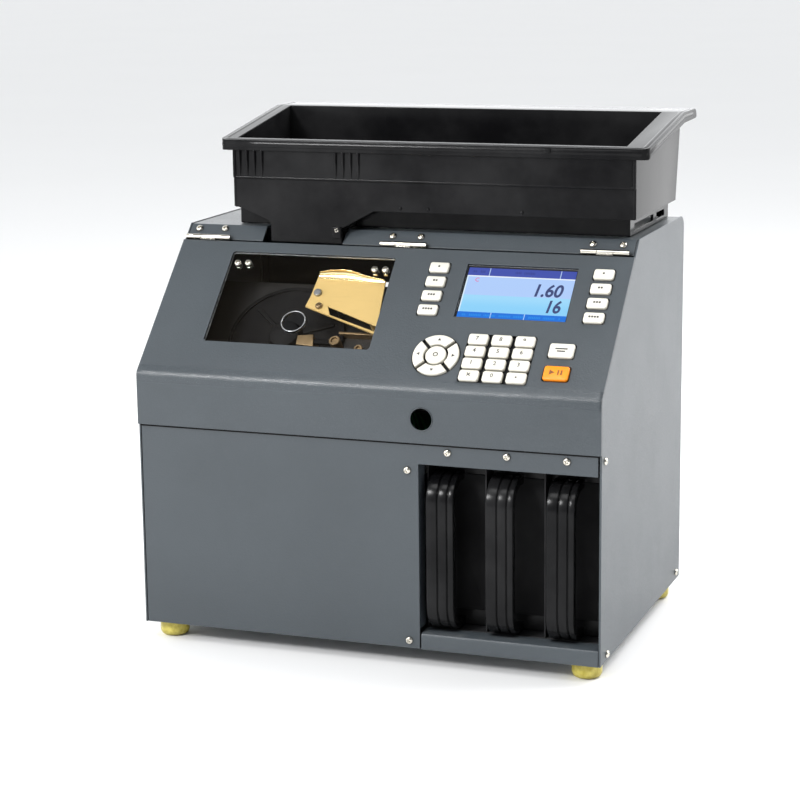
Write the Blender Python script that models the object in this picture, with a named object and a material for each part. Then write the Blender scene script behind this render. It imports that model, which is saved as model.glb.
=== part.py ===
"""Desktop coin sorting machine: a sheet metal case with a hinged sloping lid,
a coin hopper on top, a feed disc and sorting deck under the lid, and three
coin cassettes that pull out at the front.

Sizes are in millimetres; MM turns them into Blender's metres when a mesh is made.

Two frames are used. The case frame has its origin in the middle of the front
edge of the case's underside: X to the right, Y to the back, Z up. The slope
frame lies on the sloping front: X to the right, its second coordinate up the
slope from the bend line, its third straight out of the surface.
"""

from math import atan2, cos, hypot, pi, sin

import bmesh
import bpy
from mathutils import Matrix, Vector

MM = 0.001
GAP = 0.3

# Case
CASE_WIDTH = 370.0
CASE_DEPTH = 252.0
CASE_HEIGHT = 303.0
SLOPE_TOP_Y = 105.0
BEND_Z = 200.0
APRON_Z = 160.0
SHEET = 1.5
REAR_BEND_RADIUS = 9.0
FOOT_HEIGHT = 14.0
FOOT_RADIUS = 11.6
FOOT_X = 169.5
FOOT_Y = (20.0, 231.0)
SIDE_X = CASE_WIDTH / 2
INNER_X = SIDE_X - SHEET - GAP
BOX_MIDDLE_X = 4.75
BOX_MIDDLE_Y = 127.1

# Slope
SLOPE_LENGTH = hypot(SLOPE_TOP_Y, CASE_HEIGHT - BEND_Z)
SLOPE_ANGLE = atan2(CASE_HEIGHT - BEND_Z, SLOPE_TOP_Y)
LID_PROUD = 1.8
LID_TOP_EDGE = 128.8
LIP_BOTTOM_EDGE = 131.5
LID_BEND_RADIUS = 6.0
HINGE_UP = 131.9
HINGE_OUT = 2.4
HINGE_RADIUS = 2.0
HINGE_LENGTH = 37.5
HINGE_CENTRES = {"left": -164.0, "centre": 1.2, "right": 161.8}

# Openings in the lid, as (low x, high x, low up-slope, high up-slope)
WINDOW = (-138.5, -1.8, 32.3, 119.0)
SCREEN = (57.3, 144.5, 66.7, 116.3)
WINDOW_HOLE = (-70.4, 55.9, 9.4)
APRON_HOLE = (47.7, 178.5, 9.0)

# Keys
KEY_BOTTOM = 0.3
KEY_TOP = 4.0
SOFT_KEY = (15.4, 8.8)
SOFT_KEY_X = {"left": 35.8, "right": 165.1}
SOFT_KEY_UP = (111.0, 97.7, 84.4, 71.1)
DIGIT_KEY = (15.0, 9.0)
DIGIT_KEY_X = (81.6, 99.8, 118.0)
DIGIT_KEY_UP = (46.5, 35.65, 24.8, 13.95)
DIGIT_NAMES = (("7", "8", "9"), ("4", "5", "6"), ("1", "2", "3"), ("clear", "0", "point"))
SIDE_KEY = (18.8, 12.0)
SIDE_KEY_X = 147.0
SIDE_KEY_UP = {"cancel": 40.3, "start": 20.2}
NAV_CENTRE = (52.2, 30.2)
NAV_OUTER, NAV_INNER, NAV_ROUND = 17.9, 9.5, 7.9
NAV_GAP = 2.2
KEY_MARGIN = 0.9

# Cassettes
BAY = (45.4, 183.0, 17.0, 222.0, 1.8, 142.8)
BAY_WALL, BAY_FLOOR = 1.2, 13.1
LANES = ((46.6, 91.2), (92.4, 137.0), (138.2, 181.8))
HANDLE_X = (50.0, 96.4, 143.2)
HANDLE_WIDTH = 21.0
HANDLE_FRONT, HANDLE_LOW, HANDLE_HIGH = 0.6, 13.8, 134.4
HANDLE_RADIUS, HANDLE_THICKNESS = 21.0, 6.5
BIN_FRONT, BIN_BACK, BIN_LOW, BIN_HIGH = 30.0, 214.0, 13.6, 137.0
OPENING_LEFT, OPENING_TOP = 44.5, 143.8
SILL_DEPTH, SILL_HEIGHT = 16.0, 13.0

# Hopper
RIM = (-151.6, 194.5)
RIM_FRONT, RIM_FRONT_Z = 91.5, 371.8
RIM_KNEE, RIM_BACK, RIM_Z = 208.0, 243.0, 389.6
RIM_SHEET, RIM_LIP = 2.6, 8.2
TRAY_X = (-141.4, 184.2)
TRAY_FRONT, TRAY_BOTTOM = 94.5, 318.5
CHUTE_X, CHUTE_BOTTOM = (-110.5, -51.0), 292.0
STEP_Z = 341.5
PLINTH = (-146.5, 174.5, 117.0, 240.0)

# Under the lid
DECK_TOP, DECK_THICKNESS = -34.0, 3.0
DISC_CENTRE, DISC_RADIUS = (-88.0, 62.0), 48.0
SHAFT_RADIUS = 4.0
GUIDE_TOP = -13.0

COLOURS = {
    "case_paint": ((0.095, 0.112, 0.128, 1), 0.45, 0.0),
    "black_gloss": ((0.008, 0.008, 0.009, 1), 0.15, 0.0),
    "black_matt": ((0.012, 0.012, 0.013, 1), 0.6, 0.0),
    "nickel": ((0.75, 0.73, 0.68, 1), 0.25, 1.0),
    "steel": ((0.45, 0.46, 0.47, 1), 0.4, 1.0),
    "brass": ((0.78, 0.56, 0.2, 1), 0.3, 1.0),
    "ivory": ((0.84, 0.82, 0.74, 1), 0.45, 0.0),
    "orange": ((0.9, 0.29, 0.01, 1), 0.4, 0.0),
    "smoked": ((0.05, 0.035, 0.02, 1), 0.08, 0.0),
    "display": ((0.3, 0.62, 0.9, 1), 0.2, 0.0),
    "foot_rubber": ((0.62, 0.55, 0.1, 1), 0.3, 0.0),
    "board": ((0.02, 0.16, 0.07, 1), 0.5, 0.0),
}


def clear_scene():
    for obj in list(bpy.data.objects):
        bpy.data.objects.remove(obj)


def material(name):
    found = bpy.data.materials.get(name)
    if found:
        return found
    colour, roughness, metallic = COLOURS[name]
    made = bpy.data.materials.new(name)
    made.use_nodes = True
    shader = made.node_tree.nodes["Principled BSDF"]
    shader.inputs["Base Color"].default_value = colour
    shader.inputs["Roughness"].default_value = roughness
    shader.inputs["Metallic"].default_value = metallic
    return made


def empty(name, parent=None, location=(0, 0, 0), tilt=0.0):
    obj = bpy.data.objects.new(name, None)
    bpy.context.scene.collection.objects.link(obj)
    obj.parent = parent
    obj.location = Vector(location) * MM
    obj.rotation_euler = (tilt, 0, 0)
    return obj


# Outlines


def slope_point(up, out=0.0):
    """A point of the slope frame as (y, z) of the case frame."""
    return (
        cos(SLOPE_ANGLE) * up - sin(SLOPE_ANGLE) * out,
        BEND_Z + sin(SLOPE_ANGLE) * up + cos(SLOPE_ANGLE) * out,
    )


def rectangle(low_a, high_a, low_b, high_b):
    return [(low_a, low_b), (high_a, low_b), (high_a, high_b), (low_a, high_b)]


def chamfered(centre, size, corner):
    """A rectangle with cut corners, about its centre."""
    (a, b), w, h = centre, size[0] / 2, size[1] / 2
    c = corner
    corners = [(w - c, -h), (w, -h + c), (w, h - c), (w - c, h)]
    corners += [(-w + c, h), (-w, h - c), (-w, -h + c), (-w + c, -h)]
    return [(a + x, b + y) for x, y in corners]


def arc(centre, radius, start, end, steps):
    """Points from one angle to another, both in degrees."""
    angles = [(start + (end - start) * i / steps) * pi / 180 for i in range(steps + 1)]
    return [(centre[0] + radius * cos(t), centre[1] + radius * sin(t)) for t in angles]


def circle(centre, radius, steps=24):
    return arc(centre, radius, 0, 360, steps)[:-1]


def strip(path, thickness):
    """The closed outline of a sheet of this thickness, which lies to the right of the path."""
    inner = []
    for i, (a, b) in enumerate(path):
        sides = []
        for p, q in ((i - 1, i), (i, i + 1)):
            if p >= 0 and q < len(path):
                da, db = path[q][0] - path[p][0], path[q][1] - path[p][1]
                length = hypot(da, db)
                sides.append((db / length, -da / length))
        na = sum(n[0] for n in sides) / len(sides)
        nb = sum(n[1] for n in sides) / len(sides)
        scale = thickness / (na * na + nb * nb)
        inner.append((a + na * scale, b + nb * scale))
    return path + inner[::-1]


# Meshes. Each shape is a closed bmesh.

AXES = {"x": (1, 2, 0), "y": (0, 2, 1), "z": (0, 1, 2)}


def placed(a, b, c, along):
    """Outline coordinates a and b and depth c, as a point in millimetres."""
    first, second, depth = AXES[along]
    point = [0.0, 0.0, 0.0]
    point[first], point[second], point[depth] = a, b, c
    return point


def prism(outline, low, high, along, top_outline=None):
    """An outline pushed from low to high along one axis, narrowing to a second outline if given."""
    bm = bmesh.new()
    rings = []
    for points, depth in ((outline, low), (top_outline or outline, high)):
        rings.append([bm.verts.new(Vector(placed(a, b, depth, along)) * MM) for a, b in points])
    count = len(outline)
    bm.faces.new(rings[0])
    bm.faces.new(rings[1])
    for i in range(count):
        j = (i + 1) % count
        bm.faces.new((rings[0][i], rings[0][j], rings[1][j], rings[1][i]))
    bmesh.ops.recalc_face_normals(bm, faces=bm.faces[:])
    return bm


def block(low_x, high_x, low_y, high_y, low_z, high_z):
    return prism(rectangle(low_x, high_x, low_y, high_y), low_z, high_z, "z")


def turned(profile, centre, steps=24):
    """A profile of (radius, height) points turned round Z; it starts and ends on the axis."""
    bm = bmesh.new()
    rings = []
    for radius, height in profile:
        turns = steps if radius > 0 else 1
        rings.append(
            [
                bm.verts.new(
                    Vector(
                        (
                            centre[0] + radius * cos(2 * pi * i / steps),
                            centre[1] + radius * sin(2 * pi * i / steps),
                            height,
                        )
                    )
                    * MM
                )
                for i in range(turns)
            ]
        )
    for lower, upper in zip(rings, rings[1:]):
        for i in range(steps):
            j = (i + 1) % steps
            corners = [lower[i % len(lower)], lower[j % len(lower)]]
            corners += [upper[j % len(upper)], upper[i % len(upper)]]
            unique = list(dict.fromkeys(corners))
            if len(unique) > 2:
                bm.faces.new(unique)
    bmesh.ops.recalc_face_normals(bm, faces=bm.faces[:])
    return bm


def merged(shapes):
    """Several closed shapes that don't touch, as one bmesh."""
    mesh = bpy.data.meshes.new("merged")
    out = bmesh.new()
    for shape in shapes:
        shape.to_mesh(mesh)
        out.from_mesh(mesh)
    bpy.data.meshes.remove(mesh)
    return out


def mesh_object(name, shape, parent):
    mesh = bpy.data.meshes.new(name)
    shape.to_mesh(mesh)
    shape.free()
    obj = bpy.data.objects.new(name, mesh)
    bpy.context.scene.collection.objects.link(obj)
    obj.parent = parent
    return obj


def part(name, shape, finish, parent, add=(), cut=(), smooth=False):
    """One sub-part: a shape, with others joined to it and then others cut from it."""
    obj = mesh_object(name, shape, parent)
    obj.data.materials.append(material(finish))
    helpers = [("UNION", s) for s in add] + [("DIFFERENCE", s) for s in cut]
    for number, (operation, helper_shape) in enumerate(helpers):
        helper = mesh_object(f"{name}_helper_{number}", helper_shape, parent)
        helper.hide_render = True
        helper.display_type = "WIRE"
        modifier = obj.modifiers.new(f"{operation.lower()}_{number}", "BOOLEAN")
        modifier.operation = operation
        modifier.object = helper
        modifier.solver = "EXACT"
    if smooth:
        obj.data.shade_smooth()
        obj.data.set_sharp_from_angle(angle=0.6)
    return obj


def moved_origin(obj, origin):
    """Puts an object's origin at a point of its parent's frame, leaving its shape in place."""
    offset = Vector(origin) * MM
    obj.data.transform(Matrix.Translation(-offset))
    obj.location = offset
    return obj


# Case


def build_base_tray(case):
    left, right = -INNER_X, INNER_X
    sill_path = [(0.0, 0.0), (0.0, 10.4), (0.8, 12.2), (2.6, SILL_HEIGHT), (SILL_DEPTH, SILL_HEIGHT)]
    tabs = [
        block(left, left + SHEET, 20, 40, 0.5, 14),
        block(left, left + SHEET, 228, 248, 0.5, 14),
        block(right - SHEET, right, 228, 248, 0.5, 14),
        block(left + 6, OPENING_LEFT - 6, 1.8, 1.8 + SHEET, 0.5, 14),
        block(left + 6, right - 6, 248.7, 250.2, 0.5, 14),
        prism(strip(sill_path, SHEET), OPENING_LEFT + 1, right, "x"),
        block(OPENING_LEFT + 1.5, right - 0.5, 0.6, 6, 0, SHEET),
    ]
    floor = block(left, right, 1.8, 250.2, 0, SHEET)
    part("base_tray", floor, "case_paint", case, add=tabs)


def build_side_panels(case):
    corner = (CASE_DEPTH - REAR_BEND_RADIUS, CASE_HEIGHT - REAR_BEND_RADIUS)
    outline = [(0, 0), (CASE_DEPTH, 0)] + arc(corner, REAR_BEND_RADIUS, 0, 90, 6)
    centre, turn = lid_bend()
    bend = arc(centre, LID_BEND_RADIUS - LID_PROUD, 180 - turn, 180, 4)
    outline += [(SLOPE_TOP_Y, CASE_HEIGHT)] + bend
    for name, low in (("left_side_panel", -SIDE_X), ("right_side_panel", SIDE_X - SHEET)):
        part(name, prism(outline, low, low + SHEET, "x"), "case_paint", case)


def build_top_panel(case):
    """Top sheet with a lip down the slope in front, open over the coin chute, and a bend at the back."""
    top = CASE_HEIGHT - 0.5
    corner = (CASE_DEPTH - REAR_BEND_RADIUS, top - REAR_BEND_RADIUS)
    path = [slope_point(LIP_BOTTOM_EDGE), (SLOPE_TOP_Y - 0.5, top)]
    path += arc(corner, REAR_BEND_RADIUS, 90, 0, 6) + [(CASE_DEPTH, 283.0)]
    shape = prism(strip(path, SHEET), -INNER_X, INNER_X, "x")
    notch = [(-117.9, 85), (-50.2, 85), (-50.2, 101), (-46.8, 106), (-50.2, 107), (-50.2, 162), (-117.9, 162)]
    part("top_panel", shape, "case_paint", case, cut=[prism(notch, 270, 320, "z")])


def build_rear_panel(case):
    low_z, high_z = GAP, 283.0 - GAP
    sheet = block(-INNER_X, INNER_X, CASE_DEPTH - SHEET, CASE_DEPTH, low_z, high_z)
    flanges = [
        block(-INNER_X, -INNER_X + SHEET, 238, CASE_DEPTH - 0.5, 16, high_z - 2),
        block(INNER_X - SHEET, INNER_X, 238, CASE_DEPTH - 0.5, 16, high_z - 2),
    ]
    slots = []
    for column in (-60.0, 60.0):
        for row in range(6):
            z = 190.0 + 9 * row
            slots.append(prism(chamfered((column, z), (64, 4), 1.4), 245, 260, "y"))
    inlet = prism(rectangle(INLET_X - 13.9, INLET_X + 13.9, INLET_Z - 23.9, INLET_Z + 23.9), 245, 260, "y")
    port = prism(chamfered((INLET_X + 70, INLET_Z), (24, 10), 2), 245, 260, "y")
    part("rear_panel", sheet, "case_paint", case, add=flanges, cut=[merged(slots + [inlet, port])])


INLET_X, INLET_Z = -120.0, 50.0


def build_front_panel(case):
    """L-shaped sheet round the cassette opening, with edges folded back."""
    left, right, top = -INNER_X + 0.3, INNER_X - 0.8, 168.0
    outline = [(left, GAP), (OPENING_LEFT, GAP), (OPENING_LEFT, OPENING_TOP)]
    outline += [(right, OPENING_TOP), (right, top), (left, top)]
    folds = [
        block(OPENING_LEFT - SHEET, OPENING_LEFT, 0.5, 15.0, 16, OPENING_TOP + 0.8),
        block(OPENING_LEFT - 1, right, 0.5, 11.0, OPENING_TOP, OPENING_TOP + SHEET),
    ]
    part("front_panel", prism(outline, 0, SHEET, "y"), "case_paint", case, add=folds)


def build_feet(case):
    names = {(-1, 0): "front_left", (1, 0): "front_right", (-1, 1): "rear_left", (1, 1): "rear_right"}
    r, h = FOOT_RADIUS, FOOT_HEIGHT
    profile = [(0, -GAP), (r - 0.6, -GAP), (r, -2.5), (r, -h + 4), (r - 1.2, -h + 1.2), (r - 3.6, -h), (0, -h)]
    for (side, row), name in names.items():
        spot = (side * FOOT_X, FOOT_Y[row])
        part(f"foot_{name}", turned(profile, spot, 20), "foot_rubber", case, smooth=True)


# Cassettes


def build_bay(case):
    low_x, high_x, low_y, high_y, low_z, high_z = BAY
    shell = block(*BAY)
    lanes = [
        block(a, b, low_y - 5, high_y - BAY_WALL, BAY_FLOOR, high_z - BAY_WALL) for a, b in LANES
    ]
    lanes.append(block(low_x + 2, high_x - 2, low_y - 5, high_y + 5, low_z - 5, BAY_FLOOR - BAY_WALL))
    slots = [block(a + 8, b - 8, 46, 120, high_z - 5, high_z + 5) for a, b in LANES]
    part("cassette_bay", shell, "black_matt", case, cut=[merged(lanes), merged(slots)])


def handle_path(inset=0.0):
    """The grip's side view from its top fixing round the front to its bottom fixing, as (y, z)."""
    r = HANDLE_RADIUS - inset
    y, low, high = HANDLE_FRONT + inset, HANDLE_LOW + inset, HANDLE_HIGH - inset
    upper = arc((y + r, high - r), r, 90, 180, 7)
    lower = arc((y + r, low + r), r, 180, 270, 7)
    return [(BIN_FRONT + 1, high)] + upper + lower + [(BIN_FRONT + 1, low)]


def build_cassettes(case):
    for name, (a, b), handle_x in zip(("left", "middle", "right"), LANES, HANDLE_X):
        low, high = a + 0.6, b - 0.6
        bin_shape = block(low, high, BIN_FRONT, BIN_BACK, BIN_LOW, BIN_HIGH)
        grip_outline = handle_path() + handle_path(HANDLE_THICKNESS)[::-1]
        grip = prism(grip_outline, handle_x, handle_x + HANDLE_WIDTH, "x")
        inside = block(low + 1.6, high - 1.6, BIN_FRONT + 2.4, BIN_BACK - 1.6, BIN_LOW + 1.6, BIN_HIGH + 6)
        groove_outline = handle_path(-1.0) + handle_path(0.8)[::-1]
        grooves = [
            prism(groove_outline, handle_x + at, handle_x + at + 0.9, "x") for at in (8.2, 15.8)
        ]
        part(
            f"coin_cassette_{name}",
            bin_shape,
            "black_gloss",
            case,
            add=[grip],
            cut=[inside, merged(grooves)],
        )


# Lid


def lid_bend():
    """The centre of the lid's bend as (y, z), and the angle it turns through in degrees."""
    front = -LID_PROUD
    low = slope_point(0, LID_PROUD)
    corner_z = low[1] + (front - low[0]) / cos(SLOPE_ANGLE) * sin(SLOPE_ANGLE)
    turn = pi / 2 - SLOPE_ANGLE
    reach = LID_BEND_RADIUS * sin(turn / 2) / cos(turn / 2)
    return (front + LID_BEND_RADIUS, corner_z - reach), turn * 180 / pi


def lid_path():
    """The lid's outer surface from the apron's lower edge up to the hinge, as (y, z)."""
    centre, turn = lid_bend()
    bend = arc(centre, LID_BEND_RADIUS, 180, 180 - turn, 5)
    return [(-LID_PROUD, APRON_Z)] + bend + [slope_point(LID_TOP_EDGE, LID_PROUD)]


def key_windows():
    """The lid's cut-outs for keys, as outlines on the slope."""
    m = KEY_MARGIN
    outlines = []
    for x in SOFT_KEY_X.values():
        for up in SOFT_KEY_UP:
            outlines.append(chamfered((x, up), (SOFT_KEY[0] + 2 * m, SOFT_KEY[1] + 2 * m), 1.2))
    for up in SIDE_KEY_UP.values():
        outlines.append(chamfered((SIDE_KEY_X, up), (SIDE_KEY[0] + 2 * m, SIDE_KEY[1] + 2 * m), 1.2))
    width = DIGIT_KEY_X[-1] - DIGIT_KEY_X[0] + DIGIT_KEY[0] + 2 * m
    height = DIGIT_KEY_UP[0] - DIGIT_KEY_UP[-1] + DIGIT_KEY[1] + 2 * m
    middle = (DIGIT_KEY_X[1], (DIGIT_KEY_UP[0] + DIGIT_KEY_UP[-1]) / 2)
    outlines.append(chamfered(middle, (width, height), 1.2))
    outlines.append(circle(NAV_CENTRE, NAV_OUTER + m, 28))
    return outlines


def on_slope(outline, low, high, origin_up=0.0, origin_out=0.0):
    """A prism in the slope frame, moved so that the frame's given point is its origin."""
    shape = prism(outline, low, high, "z")
    bmesh.ops.translate(shape, verts=shape.verts[:], vec=Vector((0, -origin_up, -origin_out)) * MM)
    return shape


def build_lid(case):
    """The sheet is drawn in the case frame; its cut-outs come from the slope frame."""
    to_case = Matrix.Translation(Vector((0, 0, BEND_Z)) * MM) @ Matrix.Rotation(SLOPE_ANGLE, 4, "X")
    sheet = prism(strip(lid_path(), SHEET), -SIDE_X, SIDE_X, "x")
    flanges = []
    for low in (-INNER_X + 0.6, INNER_X - 0.6 - SHEET):
        flange = prism(rectangle(6, 120, -6.5, 1.0), low, low + SHEET, "x")
        flange.transform(to_case)
        flanges.append(flange)
    window = chamfered(((WINDOW[0] + WINDOW[1]) / 2, (WINDOW[2] + WINDOW[3]) / 2),
                       (WINDOW[1] - WINDOW[0], WINDOW[3] - WINDOW[2]), 1.6)
    outlines = key_windows() + [window, rectangle(*SCREEN)]
    cutters = [prism(outline, -3, 4, "z") for outline in outlines]
    for cutter in cutters:
        cutter.transform(to_case)
    cutters.append(prism(circle(APRON_HOLE[:2], APRON_HOLE[2], 28), -6, 4, "y"))
    lid = part("lid", sheet, "case_paint", case, add=flanges, cut=[merged(cutters)])
    hinge_y, hinge_z = slope_point(HINGE_UP, HINGE_OUT)
    for obj in [lid] + [m.object for m in lid.modifiers]:
        moved_origin(obj, (0, hinge_y, hinge_z))


def build_lid_fittings(lid_frame):
    hole = circle(WINDOW_HOLE[:2], WINDOW_HOLE[2], 24)
    plate = prism(rectangle(WINDOW[0] - 7, WINDOW[1] + 6.5, WINDOW[2] - 5, WINDOW[3] + 1.8), -2.5, 0.0, "z")
    part("lid_window", plate, "smoked", lid_frame, cut=[prism(hole, -5, 5, "z")])

    low_x, high_x, low_up, high_up = SCREEN
    body = prism(rectangle(low_x - 5, high_x + 5, low_up - 5, high_up + 3), -13.0, 0.0, "z")
    recess = prism(rectangle(low_x + 1.2, high_x - 1.2, low_up + 1.2, high_up - 1.2), -0.6, 3, "z")
    part("display_module", body, "display", lid_frame, cut=[recess])

    left, right, top = low_x - 5.6, high_x + 5.6, 118.0
    outline = [(26.5, 3.5), (176, 3.5), (176, top), (right, top), (right, 60.5), (left, 60.5), (left, top), (26.5, top)]
    part("keypad_mat", prism(outline, -3.2, -0.9, "z"), "black_matt", lid_frame)


def build_key(name, outline, finish, lid_frame, inset=0.7):
    """A key cap whose sides draw in towards its top, with its origin on its own axis."""
    centre_a = sum(p[0] for p in outline) / len(outline)
    centre_b = sum(p[1] for p in outline) / len(outline)
    reach = max(hypot(p[0] - centre_a, p[1] - centre_b) for p in outline)
    shrink = 1 - inset / reach
    top = [(centre_a + (a - centre_a) * shrink, centre_b + (b - centre_b) * shrink) for a, b in outline]
    key = part(name, prism(outline, KEY_BOTTOM, KEY_TOP, "z", top), finish, lid_frame)
    moved_origin(key, (centre_a, centre_b, 0))


def nav_arc_outline(middle):
    """One of the four arc-shaped keys round the centre key; middle is its direction in degrees."""
    half_gap = NAV_GAP / 2
    outer_turn = 45 - 180 / pi * half_gap / NAV_OUTER
    inner_turn = 45 - 180 / pi * half_gap / NAV_INNER
    outer = arc(NAV_CENTRE, NAV_OUTER, middle - outer_turn, middle + outer_turn, 7)
    inner = arc(NAV_CENTRE, NAV_INNER, middle + inner_turn, middle - inner_turn, 5)
    return outer + inner


def build_keys(lid_frame):
    for row, (names, up) in enumerate(zip(DIGIT_NAMES, DIGIT_KEY_UP)):
        for name, x in zip(names, DIGIT_KEY_X):
            build_key(f"key_{name}", chamfered((x, up), DIGIT_KEY, 1.0), "ivory", lid_frame)
    for side, x in SOFT_KEY_X.items():
        for number, up in enumerate(SOFT_KEY_UP, start=1):
            build_key(f"key_{side}_{number}", chamfered((x, up), SOFT_KEY, 1.0), "ivory", lid_frame)
    for name, middle in (("right", 0), ("up", 90), ("left", 180), ("down", 270)):
        build_key(f"key_arrow_{name}", nav_arc_outline(middle), "ivory", lid_frame, inset=0.5)
    build_key("key_enter", circle(NAV_CENTRE, NAV_ROUND, 20), "ivory", lid_frame)
    for name, up in SIDE_KEY_UP.items():
        finish = "orange" if name == "start" else "ivory"
        build_key(f"key_{name}", chamfered((SIDE_KEY_X, up), SIDE_KEY, 1.2), finish, lid_frame)


def build_hinges(slope_frame, lid_frame):
    """Three butt hinges. The fixed leaf carries two knuckles and the pin, the lid's leaf the middle one."""
    up, out, r = HINGE_UP, HINGE_OUT, HINGE_RADIUS
    third = HINGE_LENGTH / 3
    for name, x in HINGE_CENTRES.items():
        low, high = x - HINGE_LENGTH / 2, x + HINGE_LENGTH / 2
        inner_low, inner_high = low + third, high - third
        leaf = prism(rectangle(130.1, 143.0, -3.3, -1.8), low, high, "x")
        ends = [(low, inner_low - 0.4), (inner_high + 0.4, high)]
        webs = [prism(rectangle(130.1, 131.1, -2.5, 1.9), a, b, "x") for a, b in ends]
        knuckles = [prism(circle((up, out), r, 16), a, b, "x") for a, b in ends]
        pin = prism(circle((up, out), 0.9, 12), low + 1, high - 1, "x")
        part(
            f"hinge_{name}_fixed_leaf", leaf, "nickel", slope_frame,
            add=[merged(webs), merged(knuckles), pin],
        )
        lid_leaf = prism(rectangle(121.4, 130.2, -1.4, 0.0), low, high, "x")
        web = prism(rectangle(129.1, 130.3, -1.0, 3.0), inner_low, inner_high, "x")
        knuckle = prism(circle((up, out), r, 16), inner_low, inner_high, "x")
        relief = [block(low - 1, inner_low, 129.3, 132, -3, 1), block(inner_high, high + 1, 129.3, 132, -3, 1)]
        bore = prism(circle((up, out), 1.05, 12), low - 1, high + 1, "x")
        part(
            f"hinge_{name}_lid_leaf", lid_leaf, "nickel", lid_frame,
            add=[web, knuckle], cut=[merged(relief), bore],
        )


# Hopper


def rim_path(drop=0.0):
    """The rim's upper surface from front to back, as (y, z)."""
    back = arc((RIM_BACK, RIM_Z - 6), 6 - drop, 90, 0, 4)
    return [(RIM_FRONT, RIM_FRONT_Z - drop), (RIM_KNEE, RIM_Z - drop)] + back


def corner_cutter(corner, side_x, side_y, radius, low, high):
    """What rounds an upright outer corner. The sides are 1 or -1, the way the corner points along X and Y."""
    x, y = corner
    middle = (x - side_x * radius, y - side_y * radius)
    start = 0 if side_x > 0 else 180
    end = 90 * side_y if side_x > 0 else (90 if side_y > 0 else 270)
    outline = arc(middle, radius, start, end, 5)
    outline += [(middle[0], y + side_y * 2), (x + side_x * 2, y + side_y * 2), (x + side_x * 2, middle[1])]
    return prism(outline, low, high, "z")


def build_hopper_tray(case):
    front, bottom = TRAY_FRONT, TRAY_BOTTOM
    left, right = TRAY_X
    outline = [(front, bottom), (223.8, bottom), (235.5, 373.0), (237.0, RIM_Z - 1)]
    outline += [(RIM_KNEE, RIM_Z - 1), (front - 1.3, RIM_FRONT_Z - 1), (front - 1.3, STEP_Z + 1), (front, STEP_Z)]
    body = prism(outline, left, right, "x")
    rim = prism(strip(rim_path(), RIM_SHEET), *RIM, "x")
    rim_side = rim_path() + [(RIM_BACK + 6, 383.0), (RIM_BACK + 3, 382.0)] + rim_path(RIM_LIP)[1::-1]
    right_lip = prism(rim_side, RIM[1] - 2.2, RIM[1], "x")
    left_lip = prism(rim_side, RIM[0], RIM[0] + 2.2, "x")
    front_lip = block(*RIM, RIM_FRONT, front + 0.8, RIM_FRONT_Z - RIM_LIP, RIM_FRONT_Z - 0.6)
    apron = [(left + 1, bottom + 2), (left + 1, bottom + 1), (-114.2, 309.2), (CHUTE_X[0], 306.0)]
    apron += [(CHUTE_X[1], 304.5), (-48.8, 305.2), (-23.8, bottom), (-20, bottom + 2)]
    apron_wall = prism(apron, front, front + 2.6, "y")
    chute_side = [(front, CHUTE_BOTTOM), (146, CHUTE_BOTTOM), (146, 298), (205, 328), (205, 335), (front, 335)]
    chute = prism(chute_side, *CHUTE_X, "x")

    trough = [(-139, 400), (-139, 345), (-112, 323.5), (-48, 323.5), (176.3, 352), (176.3, 400)]
    trough_space = prism(trough, 98.5, 207.0, "y")
    throat_side = [(98.0, CHUTE_BOTTOM - 5), (143, CHUTE_BOTTOM - 5), (143, 300), (200, 329), (200, 340), (98.0, 340)]
    throat = prism(throat_side, CHUTE_X[0] + 3, CHUTE_X[1] - 3, "x")
    under = [(-20, 310), (181.6, 310), (181.6, 349.5), (-20, 323.5)]
    underside = prism(under, front + 2.5, 221.0, "y")
    corners = [corner_cutter((x, RIM_FRONT), side, -1, 6.0, 363.0, 400.0) for x, side in zip(RIM, (-1, 1))]
    corners += [corner_cutter((x, front - 1.3), side, -1, 4.0, bottom - 4, 363.0) for x, side in zip(TRAY_X, (-1, 1))]
    part(
        "hopper_tray", body, "black_gloss", case,
        add=[rim, right_lip, left_lip, front_lip, apron_wall, chute],
        cut=[trough_space, throat, underside, merged(corners)],
    )


def build_hopper_base(case):
    low_x, high_x, low_y, high_y = PLINTH
    low_z, high_z = CASE_HEIGHT - 0.5 + GAP, TRAY_BOTTOM - GAP
    shell = block(*PLINTH, low_z, high_z)
    inside = block(low_x + 2.5, high_x - 2.5, low_y + 2.5, high_y - 2.5, low_z - 5, high_z + 5)
    chute_gap = block(-114.0, -47.5, low_y - 5, 212.0, low_z - 5, high_z + 5)
    slots = [block(high_x - 6, high_x + 5, a, b, 306.0, 310.5) for a, b in ((131, 190), (201, 226))]
    part("hopper_base", shell, "black_gloss", case, cut=[inside, merged([chute_gap] + slots)])


# Under the lid


def build_deck(slope_frame):
    low = DECK_TOP - DECK_THICKNESS
    plate = prism(rectangle(-178, 178, 4, 116), low, DECK_TOP, "z")
    gates = [prism(rectangle(x - w / 2, x + w / 2, 36, 62), low - 5, DECK_TOP + 5, "z")
             for x, w in ((69, 19), (115, 23), (160, 27))]
    shaft_hole = prism(circle(DISC_CENTRE, 6, 16), low - 5, DECK_TOP + 5, "z")
    part("sort_deck", plate, "steel", slope_frame, cut=[merged(gates + [shaft_hole])])


def build_disc(slope_frame):
    """The feed disc with its hub and the shaft that goes down into the gearbox, turned as one."""
    r, base = DISC_RADIUS, DECK_TOP + 0.4
    profile = [(0, -42.0), (SHAFT_RADIUS, -42.0), (SHAFT_RADIUS, base), (r, base), (r, base + 3.5)]
    profile += [(r - 3, base + 3.5), (r - 3, base + 2.2), (14, base + 2.2), (12, base + 8), (5, base + 11), (0, base + 11)]
    disc = part("feed_disc", turned(profile, DISC_CENTRE, 32), "black_matt", slope_frame, smooth=True)
    moved_origin(disc, (*DISC_CENTRE, 0))


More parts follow.
